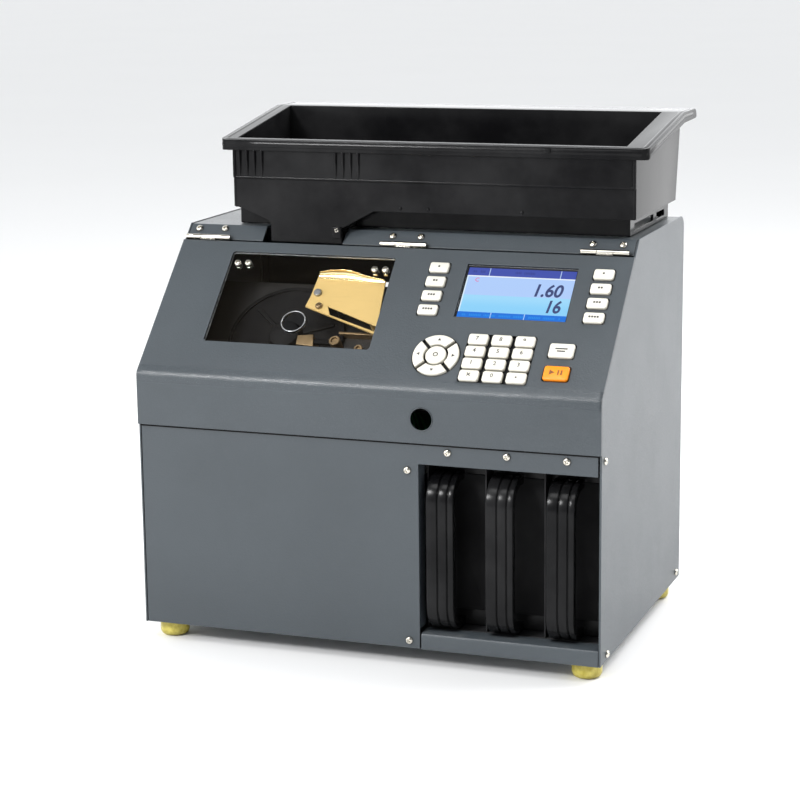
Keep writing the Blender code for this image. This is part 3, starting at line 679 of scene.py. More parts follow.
class Form:
    """Gathers closed skins into one piece. Its calls take millimetres and a placement."""

    def __init__(self) -> None:
        """Starts with nothing."""
        self.mesh = bmesh.new()

    def loft(self, rings: Sequence[tuple[Outline, float]], place: Matrix) -> "Form":
        """Joins outlines at their heights into a closed skin.

        Args:
            rings: outlines with their heights, from one end to the other.
            place: where it goes.

        Returns:
            This form.
        """
        return self.skinned([[Vector((x, y, z)) for x, y in outline] for outline, z in rings], place)

    def skinned(self, rings: Sequence[Sequence[Vector]], place: Matrix, closed: bool = False) -> "Form":
        """Joins rings of points into a skin.

        Args:
            rings: rings of equally many points.
            place: where it goes.
            closed: whether the last ring joins the first, in place of two caps.

        Returns:
            This form.
        """
        made = [[self.mesh.verts.new(place @ point) for point in ring] for ring in rings]
        for lower, upper in zip(made, made[1:] + made[:1] if closed else made[1:]):
            for i in range(len(lower)):
                j = (i + 1) % len(lower)
                self.mesh.faces.new((lower[i], lower[j], upper[j], upper[i]))
        if not closed:
            self.mesh.faces.new(made[0][::-1])
            self.mesh.faces.new(made[-1])
        return self

    def framed(self, outline: Outline, width: float, low: float, high: float, place: Matrix) -> "Form":
        """Adds a closed frame that runs inside an outline.

        Args:
            outline: its outer edge, anticlockwise.
            width: how far in it reaches.
            low, high: its bottom and top.
            place: where it goes.

        Returns:
            This form.
        """
        inner, middle = inset(outline, width), inset(outline, width * 0.5)
        rings = []
        for a, m, b in zip(outline, middle, inner):
            points = ((*a, low), (*a, high - width * 0.4), (*m, high), (*b, low))
            rings.append([Vector(point) for point in points])
        return self.skinned(rings, place, True)

    def prism(self, outline: Outline, low: float, high: float, place: Matrix) -> "Form":
        """Adds a straight prism."""
        return self.loft([(outline, low), (outline, high)], place)

    def block(self, size: tuple[float, float, float], place: Matrix, ease: float = 0.0) -> "Form":
        """Adds a block centred in X and Y that stands on its placement, with its top edges eased."""
        outline = rounded((0, 0), size[:2], max(ease, 0.05), 2 if ease else 1)
        if not ease:
            return self.prism(outline, 0, size[2], place)
        return self.cushion(outline, 0, size[2], ease, 0.0, place)

    def cushion(
        self, outline: Outline, low: float, high: float, ease: float, dome: float, place: Matrix
    ) -> "Form":
        """Adds a prism with a rounded upper edge and a slightly domed top.

        Args:
            outline: its anticlockwise outline.
            low, high: its bottom and the height of its rounded edge's top.
            ease: the edge's radius.
            dome: how far its middle stands above its edge.
            place: where it goes.

        Returns:
            This form.
        """
        rings = [(outline, low)]
        for step in range(5):
            turn = pi / 2 * step / 4
            rings.append((inset(outline, ease * (1 - cos(turn))), high - ease + ease * sin(turn)))
        top = rings[-1][0]
        if dome:
            rings += [(scaled(top, share), high + dome * (1 - share * share)) for share in (0.75, 0.5, 0.25)]
        return self.loft(rings, place)

    def turned(self, profile: Sequence[tuple[float, float]], place: Matrix, steps: int = 28) -> "Form":
        """Adds a profile of (radius, height) turned about Z, which starts and ends on the axis."""
        rings = []
        for radius, height in profile:
            count = steps if radius else 1
            turns = [2 * pi * i / steps for i in range(count)]
            spots = (Vector((radius * cos(t), radius * sin(t), height)) for t in turns)
            rings.append([self.mesh.verts.new(place @ spot) for spot in spots])
        for lower, upper in zip(rings, rings[1:]):
            for i in range(steps):
                j = i + 1
                around = ((lower, i), (lower, j), (upper, j), (upper, i))
                corners = [ring[k % len(ring)] for ring, k in around]
                unique = list(dict.fromkeys(corners))
                if len(unique) > 2:
                    self.mesh.faces.new(unique)
        return self

    def ring(
        self, inner: float, outer: float, low: float, high: float, place: Matrix, ease: float = 0.3
    ) -> "Form":
        """Adds a flat ring with eased upper edges."""
        profile = [(inner, low), (outer, low), (outer, high - ease)]
        profile += [(outer - ease, high), (inner + ease, high)]
        profile += [(inner, high - ease)]
        turns = [2 * pi * i / 40 for i in range(40)]
        rings = [[Vector((q * cos(t), q * sin(t), z)) for q, z in profile] for t in turns]
        return self.skinned(rings, place, True)

    def tube(self, path: Sequence[Vector], radius: float, place: Matrix, sides: int = 12) -> "Form":
        """Adds a round bar along a path of points."""
        rings = []
        for i, point in enumerate(path):
            ahead = (path[min(i + 1, len(path) - 1)] - path[max(i - 1, 0)]).normalized()
            side = ahead.cross(Vector((0, 0, 1)) if abs(ahead.z) < 0.9 else Vector((0, 1, 0))).normalized()
            up = side.cross(ahead)
            turns = [2 * pi * k / sides for k in range(sides)]
            rings.append([point + radius * (cos(t) * side + sin(t) * up) for t in turns])
        return self.skinned(rings, place)

    def swept(self, path: Outline, section: Outline, place: Matrix) -> "Form":
        """Adds a strip that follows a path in the YZ plane.

        Args:
            path: the path's points as (y, z).
            section: the strip's closed outline as (x, distance out of the path).
            place: where it goes.

        Returns:
            This form.
        """
        rings = []
        for i, (y, z) in enumerate(path):
            before, after = path[max(i - 1, 0)], path[min(i + 1, len(path) - 1)]
            dy, dz = after[0] - before[0], after[1] - before[1]
            long = hypot(dy, dz)
            rings.append([Vector((x, y + q * dz / long, z - q * dy / long)) for x, q in section])
        return self.skinned(rings, place)

    def stamp(self, mesh: bpy.types.Mesh, place: Matrix) -> "Form":
        """Adds a copy of a mesh made in millimetres."""
        before = len(self.mesh.verts)
        self.mesh.from_mesh(mesh)
        self.mesh.verts.ensure_lookup_table()
        bmesh.ops.transform(self.mesh, matrix=place, verts=self.mesh.verts[before:])
        return self

    def numerals(
        self,
        text: str,
        height: float,
        place: Matrix,
        lean: float = 0.0,
        bold: float = 0.01,
        width: float = 1.0,
    ) -> "Form":
        """Adds numerals centred on their placement.

        Args:
            text: the numerals.
            height: their height.
            place: where their middle goes.
            lean: how far they lean.
            bold: how much their strokes grow.
            width: how wide they are drawn.

        Returns:
            This form.
        """
        curve = bpy.data.curves.new("numerals", "FONT")
        curve.body, curve.shear, curve.offset, curve.extrude, curve.resolution_u = text, lean, bold, 0.02, 6
        writer = bpy.data.objects.new("numerals", curve)
        bpy.context.scene.collection.objects.link(writer)
        bpy.context.view_layer.update()
        mesh = writer.evaluated_get(bpy.context.evaluated_depsgraph_get()).to_mesh().copy()
        bpy.data.objects.remove(writer)
        xs = [v.co.x for v in mesh.vertices]
        ys = [v.co.y for v in mesh.vertices]
        size = height / (max(ys) - min(ys))
        middle = Vector((-(min(xs) + max(xs)) / 2, -(min(ys) + max(ys)) / 2, 0))
        self.stamp(mesh, place @ Matrix.Diagonal((size * width, size, 1, 1)) @ Matrix.Translation(middle))
        bpy.data.meshes.remove(mesh)
        return self

    def finish(
        self, name: str, finish: bpy.types.Material, body: str, slot: str, sharp: float = 38.0
    ) -> bpy.types.Object:
        """Makes the piece.

        Args:
            name: its name.
            finish: its material.
            body: the body it rides on.
            slot: not used.
            sharp: edges that turn more than this many degrees stay sharp.

        Returns:
            The piece.
        """
        bmesh.ops.recalc_face_normals(self.mesh, faces=self.mesh.faces[:])
        mesh = bpy.data.meshes.new(name)
        self.mesh.to_mesh(mesh)
        self.mesh.free()
        mesh.materials.append(finish)
        mesh.shade_smooth()
        mesh.set_sharp_from_angle(angle=radians(sharp))
        piece = bpy.data.objects.new(name, mesh)
        bpy.context.scene.collection.objects.link(piece)
        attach(piece, body)
        LOG.info("%s: %d faces on %s", name, len(mesh.polygons), body)
        return piece


@dataclass
class Finishes:
    """Every material of the machine, built once."""

    frame: CaseFrame
    made: dict[str, bpy.types.Material] = field(default_factory=dict)

    def __post_init__(self) -> None:
        """Builds them all."""
        slope = self.frame.on_slope()
        out = (slope.to_3x3() @ Vector((0, 0, 1))).normalized()
        low = slope.translation.dot(out)
        paint, interior, dark_deck = (0.0485, 0.058, 0.066), (0.003, 0.003, 0.0035), (0.007, 0.0063, 0.0055)
        deck_grain, fine_grain = (30.0, 1800.0, 1800.0), (60.0, 900.0, 900.0)
        ivory = KeyPlastic("key_ivory", (0.68, 0.66, 0.585), (0.62, 0.57, 0.46), low, tuple(out))
        orange = KeyPlastic("key_orange", (0.88, 0.26, 0.004), (0.78, 0.16, 0.006), low, tuple(out))
        recipes = {
            "paint": PowderCoat("case_paint", paint),
            "lid_paint": PowderCoat("lid_paint", paint, fold=self._fold_height()),
            "gloss": Moulding("black_gloss_plastic", (0.004, 0.004, 0.0045), 0.13, 0.3, shine=0.1),
            "cassette": Moulding("cassette_black_plastic", (0.003, 0.003, 0.0035), 0.2, 0.3, shine=0.12),
            "void": Moulding("dark_interior_plastic", interior, 0.6, 0.15, 0.00001, 0.0006, 0.1),
            "matt": Moulding("black_matt_plastic", (0.012, 0.012, 0.013), 0.55, 0.4, 0.00002, 0.0006),
            "nickel": BareMetal("nickel_plate", (0.66, 0.63, 0.56), 0.13, (900.0, 900.0, 900.0), 0.35),
            "steel": BareMetal("brushed_steel", (0.42, 0.43, 0.44), 0.32),
            "deck": BareMetal("blackened_deck", dark_deck, 0.5, deck_grain, 0.4, 0.0),
            "brass": BareMetal("satin_brass", (0.82, 0.58, 0.22), 0.36, (60.0, 1500.0, 1500.0), 0.12, 0.3),
            "bright_brass": BareMetal("bright_brass", (0.93, 0.75, 0.4), 0.14, fine_grain, 0.1, 1.0),
            "bronze": BareMetal("dark_bronze", (0.3, 0.21, 0.11), 0.4, (300.0, 1500.0, 1500.0), 0.4, 0.8),
            "ivory": ivory,
            "orange": orange,
            "window": SmokedAcrylic(),
            "foot": FootRubber(),
            "ink": Ink("key_ink", (0.02, 0.02, 0.022), (0.35, 0.34, 0.3)),
            "digits": Ink("display_digits", (0.006, 0.018, 0.09), (0.01, 0.03, 0.12)),
            "brown_ink": Ink("brown_ink", (0.18, 0.06, 0.01), (0.4, 0.15, 0.02)),
            "board": CircuitBoard(),
            "display_board": CircuitBoard("display_circuit_board", -9.0),
        }
        self.made = {name: recipe.build() for name, recipe in recipes.items()}

    def _fold_height(self) -> float:
        """Gives the height of the lid's bend in the lid's own coordinates."""
        to_lid = bpy.data.objects["lid"].matrix_world.inverted()
        return (to_lid @ self.frame.on_slope().translation).z

    def __getitem__(self, name: str) -> bpy.types.Material:
        """Gives a finish by name."""
        return self.made[name]


def dress(nodes: Iterable[str], finish: bpy.types.Material, ease: float = 0.35, steps: int = 2) -> None:
    """Gives CAD nodes a finish and smooth shading with eased edges.

    Args:
        nodes: the nodes' names.
        finish: their material.
        ease: the width of their eased edges, in millimetres.
        steps: faces across each eased edge.
    """
    for name in nodes:
        part = frame["nodes"][name]
        mesh = part.data
        mesh.materials.clear()
        mesh.materials.append(finish)
        if "custom_normal" in mesh.attributes:
            mesh.attributes.remove(mesh.attributes["custom_normal"])
        mesh.polygons.foreach_set("use_smooth", [True] * len(mesh.polygons))
        part.modifiers.new("weld", "WELD").merge_threshold = 0.000005
        flat = part.modifiers.new("flats", "DECIMATE")
        flat.decimate_type, flat.angle_limit = "DISSOLVE", radians(0.4)
        bevel = part.modifiers.new("eased", "BEVEL")
        bevel.width, bevel.segments, bevel.limit_method = ease * MM, steps, "ANGLE"
        bevel.angle_limit, bevel.harden_normals, bevel.use_clamp_overlap = radians(34), True, True
        LOG.info("%s dressed in %s", name, finish.name)


@dataclass(frozen=True)
class PanScrew:
    """A cross-head pan screw, on the plane that it holds down."""

    radius: float = 2.9
    height: float = 1.9

    def mesh(self) -> bpy.types.Mesh:
        """Builds the head, in millimetres."""
        form = Form()
        r, h = self.radius, self.height
        profile = [(0, 0), (r * 0.96, 0), (r, h * 0.2), (r * 0.95, h * 0.5)]
        profile += [(r * 0.8, h * 0.8), (r * 0.5, h * 0.97), (0, h)]
        form.turned(profile, Matrix(), 24)
        mesh = bpy.data.meshes.new("screw_head")
        rings = [(scaled(self._cross(), 0.62), h * 0.35), (scaled(self._cross(), 1.15), h + 1)]
        tool = Form().loft(rings, Matrix())
        bmesh.ops.recalc_face_normals(tool.mesh, faces=tool.mesh.faces[:])
        bmesh.ops.recalc_face_normals(form.mesh, faces=form.mesh.faces[:])
        form.mesh.to_mesh(mesh)
        tool.mesh.to_mesh(tool_mesh := bpy.data.meshes.new("screw_recess"))
        head_object = bpy.data.objects.new("screw_head", mesh)
        tool_object = bpy.data.objects.new("screw_recess", tool_mesh)
        for thing in (head_object, tool_object):
            bpy.context.scene.collection.objects.link(thing)
        cut = head_object.modifiers.new("recess", "BOOLEAN")
        cut.operation, cut.solver, cut.object = "DIFFERENCE", "EXACT", tool_object
        bpy.context.view_layer.update()
        made = head_object.evaluated_get(bpy.context.evaluated_depsgraph_get()).to_mesh().copy()
        for thing in (head_object, tool_object):
            bpy.data.objects.remove(thing)
        for spare in (form.mesh, tool.mesh):
            spare.free()
        return made

    def _cross(self) -> Outline:
        """Gives the recess's cross outline."""
        a, b = self.radius * 0.62, self.radius * 0.16
        upper = [(a, -b), (a, b), (b, b), (b, a), (-b, a), (-b, b)]
        return upper + [(-x, -y) for x, y in upper]


@dataclass
class Studio:
    """The floor, the lights and the camera."""

    frame: CaseFrame
    lens: float = 101.44
    azimuth: float = 20.17
    elevation: float = 12.01
    roll: float = -0.68
    wall_light: float = 1.95
    ceiling_light: float = 0.2

    def build(self) -> None:
        """Sets the studio up round the machine."""
        self._floor()
        self._world()
        self._lights()
        self._camera()

    def _floor(self) -> None:
        """Lays a wide pale floor under the feet."""
        form = bmesh.new()
        bmesh.ops.create_grid(form, x_segments=1, y_segments=1, size=14.0)
        mesh = bpy.data.meshes.new("studio_floor")
        form.to_mesh(mesh)
        form.free()
        mesh.materials.append(PaleFloor().build())
        floor = bpy.data.objects.new("studio_floor", mesh)
        floor.location.z = CAD_BOX[0].z - 0.0002
        bpy.context.scene.collection.objects.link(floor)

    def _world(self) -> None:
        """Fills the room with soft light from its walls, under a dim ceiling."""
        world = bpy.data.worlds.new("studio")
        world.use_nodes = True
        background = world.node_tree.nodes["Background"]
        background.inputs["Color"].default_value = (0.97, 0.985, 1.0, 1.0)
        room = Recipe("studio_room", world.node_tree)
        look = room.node("ShaderNodeTexCoord", output="Generated")
        height = room.node("ShaderNodeSeparateXYZ", None, {0: look}, output="Z")
        dimmed = (self.wall_light - self.ceiling_light) * height.eased(0.55, 0.9)
        corner = room.dot(look, (0.55, -0.83, 0.0)).eased(0.0, 0.9)
        room.feed(background.inputs["Strength"], (self.wall_light - dimmed) * (1.0 - 0.88 * corner))
        bpy.context.scene.world = world
        bpy.context.scene.view_settings.view_transform = "Standard"

    def _light(self, name: str, at: Colour, aim: Colour, size: tuple[float, float], watts: float) -> None:
        """Hangs one soft box.

        Args:
            name: its name.
            at: where it hangs, in metres.
            aim: the point it looks at.
            size: its width and height.
            watts: its power.
        """
        lamp = bpy.data.lights.new(name, "AREA")
        lamp.shape, lamp.size, lamp.size_y, lamp.energy = "RECTANGLE", *size, watts
        holder = bpy.data.objects.new(name, lamp)
        holder.location = at
        holder.visible_camera = False
        holder.rotation_mode = "QUATERNION"
        holder.rotation_quaternion = (Vector(aim) - Vector(at)).to_track_quat("-Z", "Y")
        bpy.context.scene.collection.objects.link(holder)

    def _lights(self) -> None:
        """Hangs the key light, the high box, the two soft cards and the light on the floor at the right."""
        self._light("key", (-0.93, -1.87, 1.4), (-0.15, -0.1, 0.22), (0.42, 0.42), 40.0)
        self._light("high_front", (-0.25, -1.0, 1.9), (0.0, 0.0, 0.25), (0.9, 0.7), 12.0)
        self._light("left_card", (-0.95, -1.2, 0.42), (-0.05, 0.0, 0.25), (0.8, 0.7), 1.5)
        self._light("rear_right_card", (1.15, 1.3, 0.5), (0.2, 0.0, 0.2), (1.5, 1.1), 7.0)
        self._light("right_floor", (0.95, 0.55, 1.5), (0.42, 0.25, 0.0), (0.9, 0.9), 26.0)

    def _camera(self) -> None:
        """Places the camera to the right of the front, a little above the machine."""
        a, e, turn = radians(self.azimuth), radians(self.elevation), radians(self.roll)
        back = Vector((sin(a) * cos(e), -cos(a) * cos(e), sin(e)))
        right = Vector((cos(a), sin(a), 0))
        up = back.cross(right)
        leaned_right = cos(turn) * right + sin(turn) * up
        leaned_up = cos(turn) * up - sin(turn) * right
        pose = Matrix((leaned_right, leaned_up, back)).transposed().to_4x4()
        pose.translation = self.frame.origin + Vector((593.2, -1531.2, 538.8)) * MM
        camera = bpy.data.cameras.new("camera")
        camera.lens, camera.sensor_width = self.lens, 36.0
        holder = bpy.data.objects.new("camera", camera)
        holder.matrix_world = pose
        bpy.context.scene.collection.objects.link(holder)
        bpy.context.scene.camera = holder


@dataclass
class Casing:
    """The sheet metal case: its paint, its screws and its feet."""

    frame: CaseFrame
    finishes: Finishes
    screw: bpy.types.Mesh
    lip_screws: tuple[tuple[float, float], ...] = (
        (-175.4, 141.4),
        (-153.2, 142.1),
        (-10.3, 141.0),
        (12.7, 141.3),
        (150.3, 140.6),
        (173.7, 140.9),
    )
    front_screws: tuple[tuple[float, float], ...] = (
        (67.5, 154.0),
        (113.3, 154.2),
        (159.0, 153.9),
        (35.8, 138.7),
        (36.1, 6.4),
    )
    side_screws: tuple[tuple[float, float], ...] = ((9.1, 154.0), (17.6, 5.3), (238.9, 6.4))

    def build(self) -> None:
        """Dresses the panels and adds their fasteners."""
        sides = ("left_side", "right_side", "top", "rear", "front")
        panels = ["base_tray"] + [f"{side}_panel" for side in sides]
        dress(panels, self.finishes["paint"])
        feet = [f"foot_{end}_{side}" for end in ("front", "rear") for side in ("left", "right")]
        dress(feet, self.finishes["foot"])
        self._screws()
        self._foot_screws()

    def _screws(self) -> None:
        """Adds the screws of every outer face."""
        form = Form()
        for i, (x, up) in enumerate(self.lip_screws):
            form.stamp(self.screw, self.frame.on_slope(x, up, 0.0, 20.0 * i))
        for i, (x, z) in enumerate(self.front_screws):
            form.stamp(self.screw, self.frame.at(x, 0.0, z, Facing.FRONT, 35.0 * i))
        for i, (y, z) in enumerate(self.side_screws):
            form.stamp(self.screw, self.frame.at(185.0, y, z, Facing.RIGHT, 25.0 * i))
            form.stamp(self.screw, self.frame.at(-185.0, y, z, Facing.LEFT, 15.0 * i))
        for i, x in enumerate((-172.0, -60.0, 60.0, 172.0)):
            for z in (8.0, 274.0):
                form.stamp(self.screw, self.frame.at(x, 252.0, z, Facing.REAR, 30.0 * i))
        form.finish("case_screws", self.finishes["nickel"], "case", "hinge_steel")

    def _foot_screws(self) -> None:
        """Adds the washer in the hollow of each foot."""
        form = Form()
        for end in ("front", "rear"):
            for side in ("left", "right"):
                low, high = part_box(f"foot_{end}_{side}")
                middle = (low + high) / 2
                place = Matrix.Translation((middle.x, middle.y, low.z)) @ Matrix.Scale(MM, 4)
                form.ring(2.4, 4.6, 0.02, 0.3, place @ Matrix.Translation((0, 0, 0.05)), 0.08)
        form.finish("foot_washers", self.finishes["nickel"], "case", "hinge_steel")


@dataclass
class Lid:
    """The hinged lid: paint, window, hole rims and the studs on its inside."""

    frame: CaseFrame
    finishes: Finishes
    screw: bpy.types.Mesh
    window_screws: tuple[tuple[float, float], ...] = (
        (-132.3, 108.7),
        (-123.4, 109.2),
        (-17.0, 108.3),
        (-8.3, 108.4),
    )

    def build(self) -> None:
        """Dresses the lid and adds its fittings."""
        dress(["lid"], self.finishes["lid_paint"])
        dress(["lid_window"], self.finishes["window"])
        dress(["keypad_mat"], self.finishes["matt"])
        hinges = ("left", "centre", "right")
        leaves = [f"hinge_{name}_{leaf}" for name in hinges for leaf in ("fixed_leaf", "lid_leaf")]
        dress(leaves, self.finishes["nickel"])
        self._window_screws()
        self._rims()
        self._inner_studs()

    def _window_screws(self) -> None:
        """Adds the screws that hold the window."""
        form = Form()
        for i, (x, up) in enumerate(self.window_screws):
            form.stamp(self.screw, self.frame.on_slope(x, up, 0.0, 25.0 * i))
        form.finish("window_screws", self.finishes["nickel"], "lid", "hinge_steel")

    def _rims(self) -> None:
        """Adds the hole rims, the cut edges and a near-black strip under the apron that paints the shadow in
        the gap there.
        """
        rim = Form().ring(8.3, 9.1, -0.4, 0.45, self.frame.at(47.7, -1.8, 178.5, Facing.FRONT), 0.25)
        rim.finish("apron_hole_rim", self.finishes["paint"], "lid", "case_paint")
        opening = Form()
        for x0, x1, low, high, r in ((-138.5, -1.8, 32.3, 119.0, 2.0), (57.3, 144.5, 66.7, 116.3, 0.8)):
            outline = rounded(((x0 + x1) / 2, (low + high) / 2), (x1 - x0, high - low), r, 4)
            opening.framed(outline, 0.55, -0.9, 0.12, self.frame.on_slope())
        opening.finish("lid_cut_edges", self.finishes["steel"], "lid", "bare_steel")
        edge = Form().ring(9.0, 9.9, -2.4, 0.35, self.frame.on_slope(-70.4, 55.9, 0.0), 0.2)
        edge.finish("window_hole_rim", self.finishes["steel"], "lid", "bare_steel")
        # painted shadow: a thin near-black strip stands for the shadowed gap under the apron's lower edge
        gap_shadow_strip = Form().block((366.0, 1.3, 0.4), self.frame.at(0.0, 0.0, 159.2, Facing.FRONT))
        gap_shadow_strip.finish("apron_gap_seal", self.finishes["void"], "case", "black_matt_plastic")

    def _inner_studs(self) -> None:
        """Adds the nuts that hold the window and the display from behind."""
        form = Form()
        spots = [(x, up, -2.5) for x, up in self.window_screws] + [(-132.0, 30.5, -2.5), (-8.0, 30.5, -2.5)]
        for x, up, out in spots:
            form.prism(circle((0, 0), 2.9, 6), -2.2, 0.0, self.frame.on_slope(x, up, out))
            shank = [(0, -3.4), (1.4, -3.4), (1.5, -3.0), (1.5, 0), (0, 0)]
            form.turned(shank, self.frame.on_slope(x, up, out), 12)
        form.finish("lid_nuts", self.finishes["nickel"], "lid", "hinge_steel")


@dataclass
class Display:
    """The display: module, lit picture, its numerals and the board behind it."""

    frame: CaseFrame
    finishes: Finishes
    left: float = 58.6
    right: float = 143.2
    low: float = 68.0
    high: float = 114.5
    depth: float = -0.56

    def build(self) -> None:
        """Makes the display."""
        dress(["display_module"], self.finishes["matt"])
        self._picture()
        self._numerals()
        self._back()

    def _picture(self) -> None:
        """Makes the lit panel."""
        slope = self.frame.on_slope(self.left, self.low, self.depth)
        turn = slope.to_3x3().normalized()
        picture = LitScreen(
            slope.translation,
            turn @ Vector((1, 0, 0)),
            turn @ Vector((0, 1, 0)),
            (self.right - self.left) * MM,
            (self.high - self.low) * MM,
        )
        middle = ((self.left + self.right) / 2, (self.low + self.high) / 2)
        outline = rounded(middle, (self.right - self.left, self.high - self.low), 0.2, 1)
        panel = Form().prism(outline, self.depth, self.depth + 0.3, self.frame.on_slope())
        panel.finish("display_picture", picture.build(), "lid", "display")

    def _numerals(self) -> None:
        """Writes the amount and the count on the picture."""
        width, height = self.right - self.left, self.high - self.low
        top = self.depth + 0.32
        form = Form()
        amount = self.frame.on_slope(self.left + 0.79 * width, self.low + 0.598 * height, top)
        count = self.frame.on_slope(self.left + 0.868 * width, self.low + 0.285 * height, top)
        form.numerals("1.60", 12.0, amount, 0.15, 0.026, 0.86)
        form.numerals("16", 12.0, count, 0.15, 0.026, 0.8)
        form.finish("display_numerals", self.finishes["digits"], "lid", "display")

    def _back(self) -> None:
        """Adds the driver board and its chips behind the display."""
        board = Form().block((88.0, 46.0, 1.4), self.frame.on_slope(100.9, 90.5, -14.6), 0.2)
        board.finish("display_board", self.finishes["display_board"], "lid", "board")
        chips = Form()
        for x, up, w, h in ((80, 95, 14, 14), (112, 98, 18, 8), (128, 80, 9, 9), (96, 76, 26, 5)):
            chips.block((w, h, 2.2), self.frame.on_slope(x, up, -16.8), 0.3)
        chips.finish("display_chips", self.finishes["matt"], "lid", "black_matt_plastic")


@dataclass(frozen=True)
class Key:
    """One key: the name of its body, its middle, its size and its mark."""

    name: str
    middle: tuple[float, float]
    size: tuple[float, float]
    mark: str = ""


@dataclass
class Keypad:
    """All the keys, as rounded caps with their printed marks."""

    frame: CaseFrame
    finishes: Finishes
    low: float = 0.35
    high: float = 3.75
    nav: tuple[float, float] = (52.2, 30.2)

    def keys(self) -> list[Key]:
        """Lists the rectangular keys."""
        found = []
        rows = (("7", "8", "9"), ("4", "5", "6"), ("1", "2", "3"), ("clear", "0", "point"))
        for names, up in zip(rows, (46.5, 35.65, 24.8, 13.95)):
            for name, x in zip(names, (81.6, 99.8, 118.0)):
                found.append(Key(f"key_{name}", (x, up), (15.2, 9.2), name))
        for side, x in (("left", 35.8), ("right", 165.1)):
            for number, up in enumerate((111.0, 97.7, 84.4, 71.1), start=1):
                found.append(Key(f"key_{side}_{number}", (x, up), (15.6, 9.0), f"soft_{number}"))
        found.append(Key("key_cancel", (147.0, 40.3), (19.0, 12.2), "cancel"))
        found.append(Key("key_start", (147.0, 20.2), (19.0, 12.2), "start"))
        return found

    def build(self) -> None:
        """Makes every key."""
        place = self.frame.on_slope()
        for key in self.keys():
            outline = rounded(key.middle, key.size, 1.9, 5)
            finish, slot = ("orange", "key_orange") if key.name == "key_start" else ("ivory", "key_ivory")
            cap = Form().cushion(outline, self.low, self.high, 1.0, 0.35, place)
            piece = cap.finish(f"cap_{key.name[4:]}", self.finishes[finish], key.name, slot, 60.0)
            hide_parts(key.name)
            self._mark(key)
        self._arrows()

    def _mark(self, key: Key) -> None:
        """Prints one key's mark."""
        form = Form()
        x, up = key.middle
        top = self.high + 0.32

        def at(dx: float, dy: float, spin: float = 0.0) -> Matrix:
            """Gives a spot on the key's top."""
            return self.frame.on_slope(x + dx, up + dy, top, spin)

        if key.mark.isdigit():
            form.numerals(key.mark, 3.5, at(-0.4, 0.3), 0.0, 0.02)
        elif key.mark == "point":
            form.prism(circle((0, 0), 0.75, 12), 0, 0.05, at(0, 0))
        elif key.mark == "clear":
            form.prism(rounded((0, 0), (3.8, 0.8), 0.25, 2), 0, 0.05, at(0, 0.2, 45.0))
            form.prism(rounded((0, 0), (3.8, 0.8), 0.25, 2), 0, 0.05, at(0, 0.2, -45.0))
        elif key.mark == "cancel":
            form.prism(rounded((0, 0), (9.4, 1.1), 0.4, 2), 0, 0.05, at(0, 1.0))
            form.prism(rounded((0, 0), (6.4, 1.1), 0.4, 2), 0, 0.05, at(0, -1.2))
        elif key.mark == "start":
            form.prism([(-1.9, -2.2), (2.1, 0.0), (-1.9, 2.2)], 0, 0.05, at(-3.0, 0))
            form.prism(rounded((0, 0), (1.2, 4.2), 0.3, 2), 0, 0.05, at(1.8, 0))
            form.prism(rounded((0, 0), (1.2, 4.2), 0.3, 2), 0, 0.05, at(4.2, 0))
        else:
            count = int(key.mark[-1])
            for i in range(count):
                spot = at(2.1 * (i - (count - 1) / 2), 0.2)
                form.prism(rounded((0, 0), (1.5, 1.7), 0.35, 2), 0, 0.05, spot)
        ink = "brown_ink" if key.mark == "start" else "ink"
        form.finish(f"mark_{key.name[4:]}", self.finishes[ink], key.name, "black_matt_plastic")

    def _arrows(self) -> None:
        """Makes the four arc keys and the round key between them."""
        place = self.frame.on_slope()
        for name, middle in (("right", 0), ("up", 90), ("left", 180), ("down", 270)):
            outer = arc(self.nav, 17.9, middle - 40.6, middle + 40.6, 14)
            inner = arc(self.nav, 9.6, middle + 36.5, middle - 36.5, 10)
            cap = Form().cushion(outer + inner, self.low, self.high, 0.8, 0.0, place)
            body = f"key_arrow_{name}"
            piece = cap.finish(f"cap_arrow_{name}", self.finishes["ivory"], body, "key_ivory", 60.0)
            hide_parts(body)
            spot = (self.nav[0] + 13.8 * cos(radians(middle)), self.nav[1] + 13.8 * sin(radians(middle)))
            arrow = [(-1.1, -1.3), (1.3, 0.0), (-1.1, 1.3)]
            mark = Form().prism(arrow, 0, 0.05, self.frame.on_slope(*spot, self.high, middle))
            mark.finish(f"mark_arrow_{name}", self.finishes["ink"], body, "black_matt_plastic")
        cap = Form().cushion(circle(self.nav, 8.0, 32), self.low, self.high, 1.0, 0.3, place)
        piece = cap.finish("cap_enter", self.finishes["ivory"], "key_enter", "key_ivory", 60.0)
        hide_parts("key_enter")
        mark = Form().ring(1.2, 2.0, 0, 0.05, self.frame.on_slope(*self.nav, self.high + 0.29), 0.01)
        mark.finish("mark_enter", self.finishes["ink"], "key_enter", "black_matt_plastic")


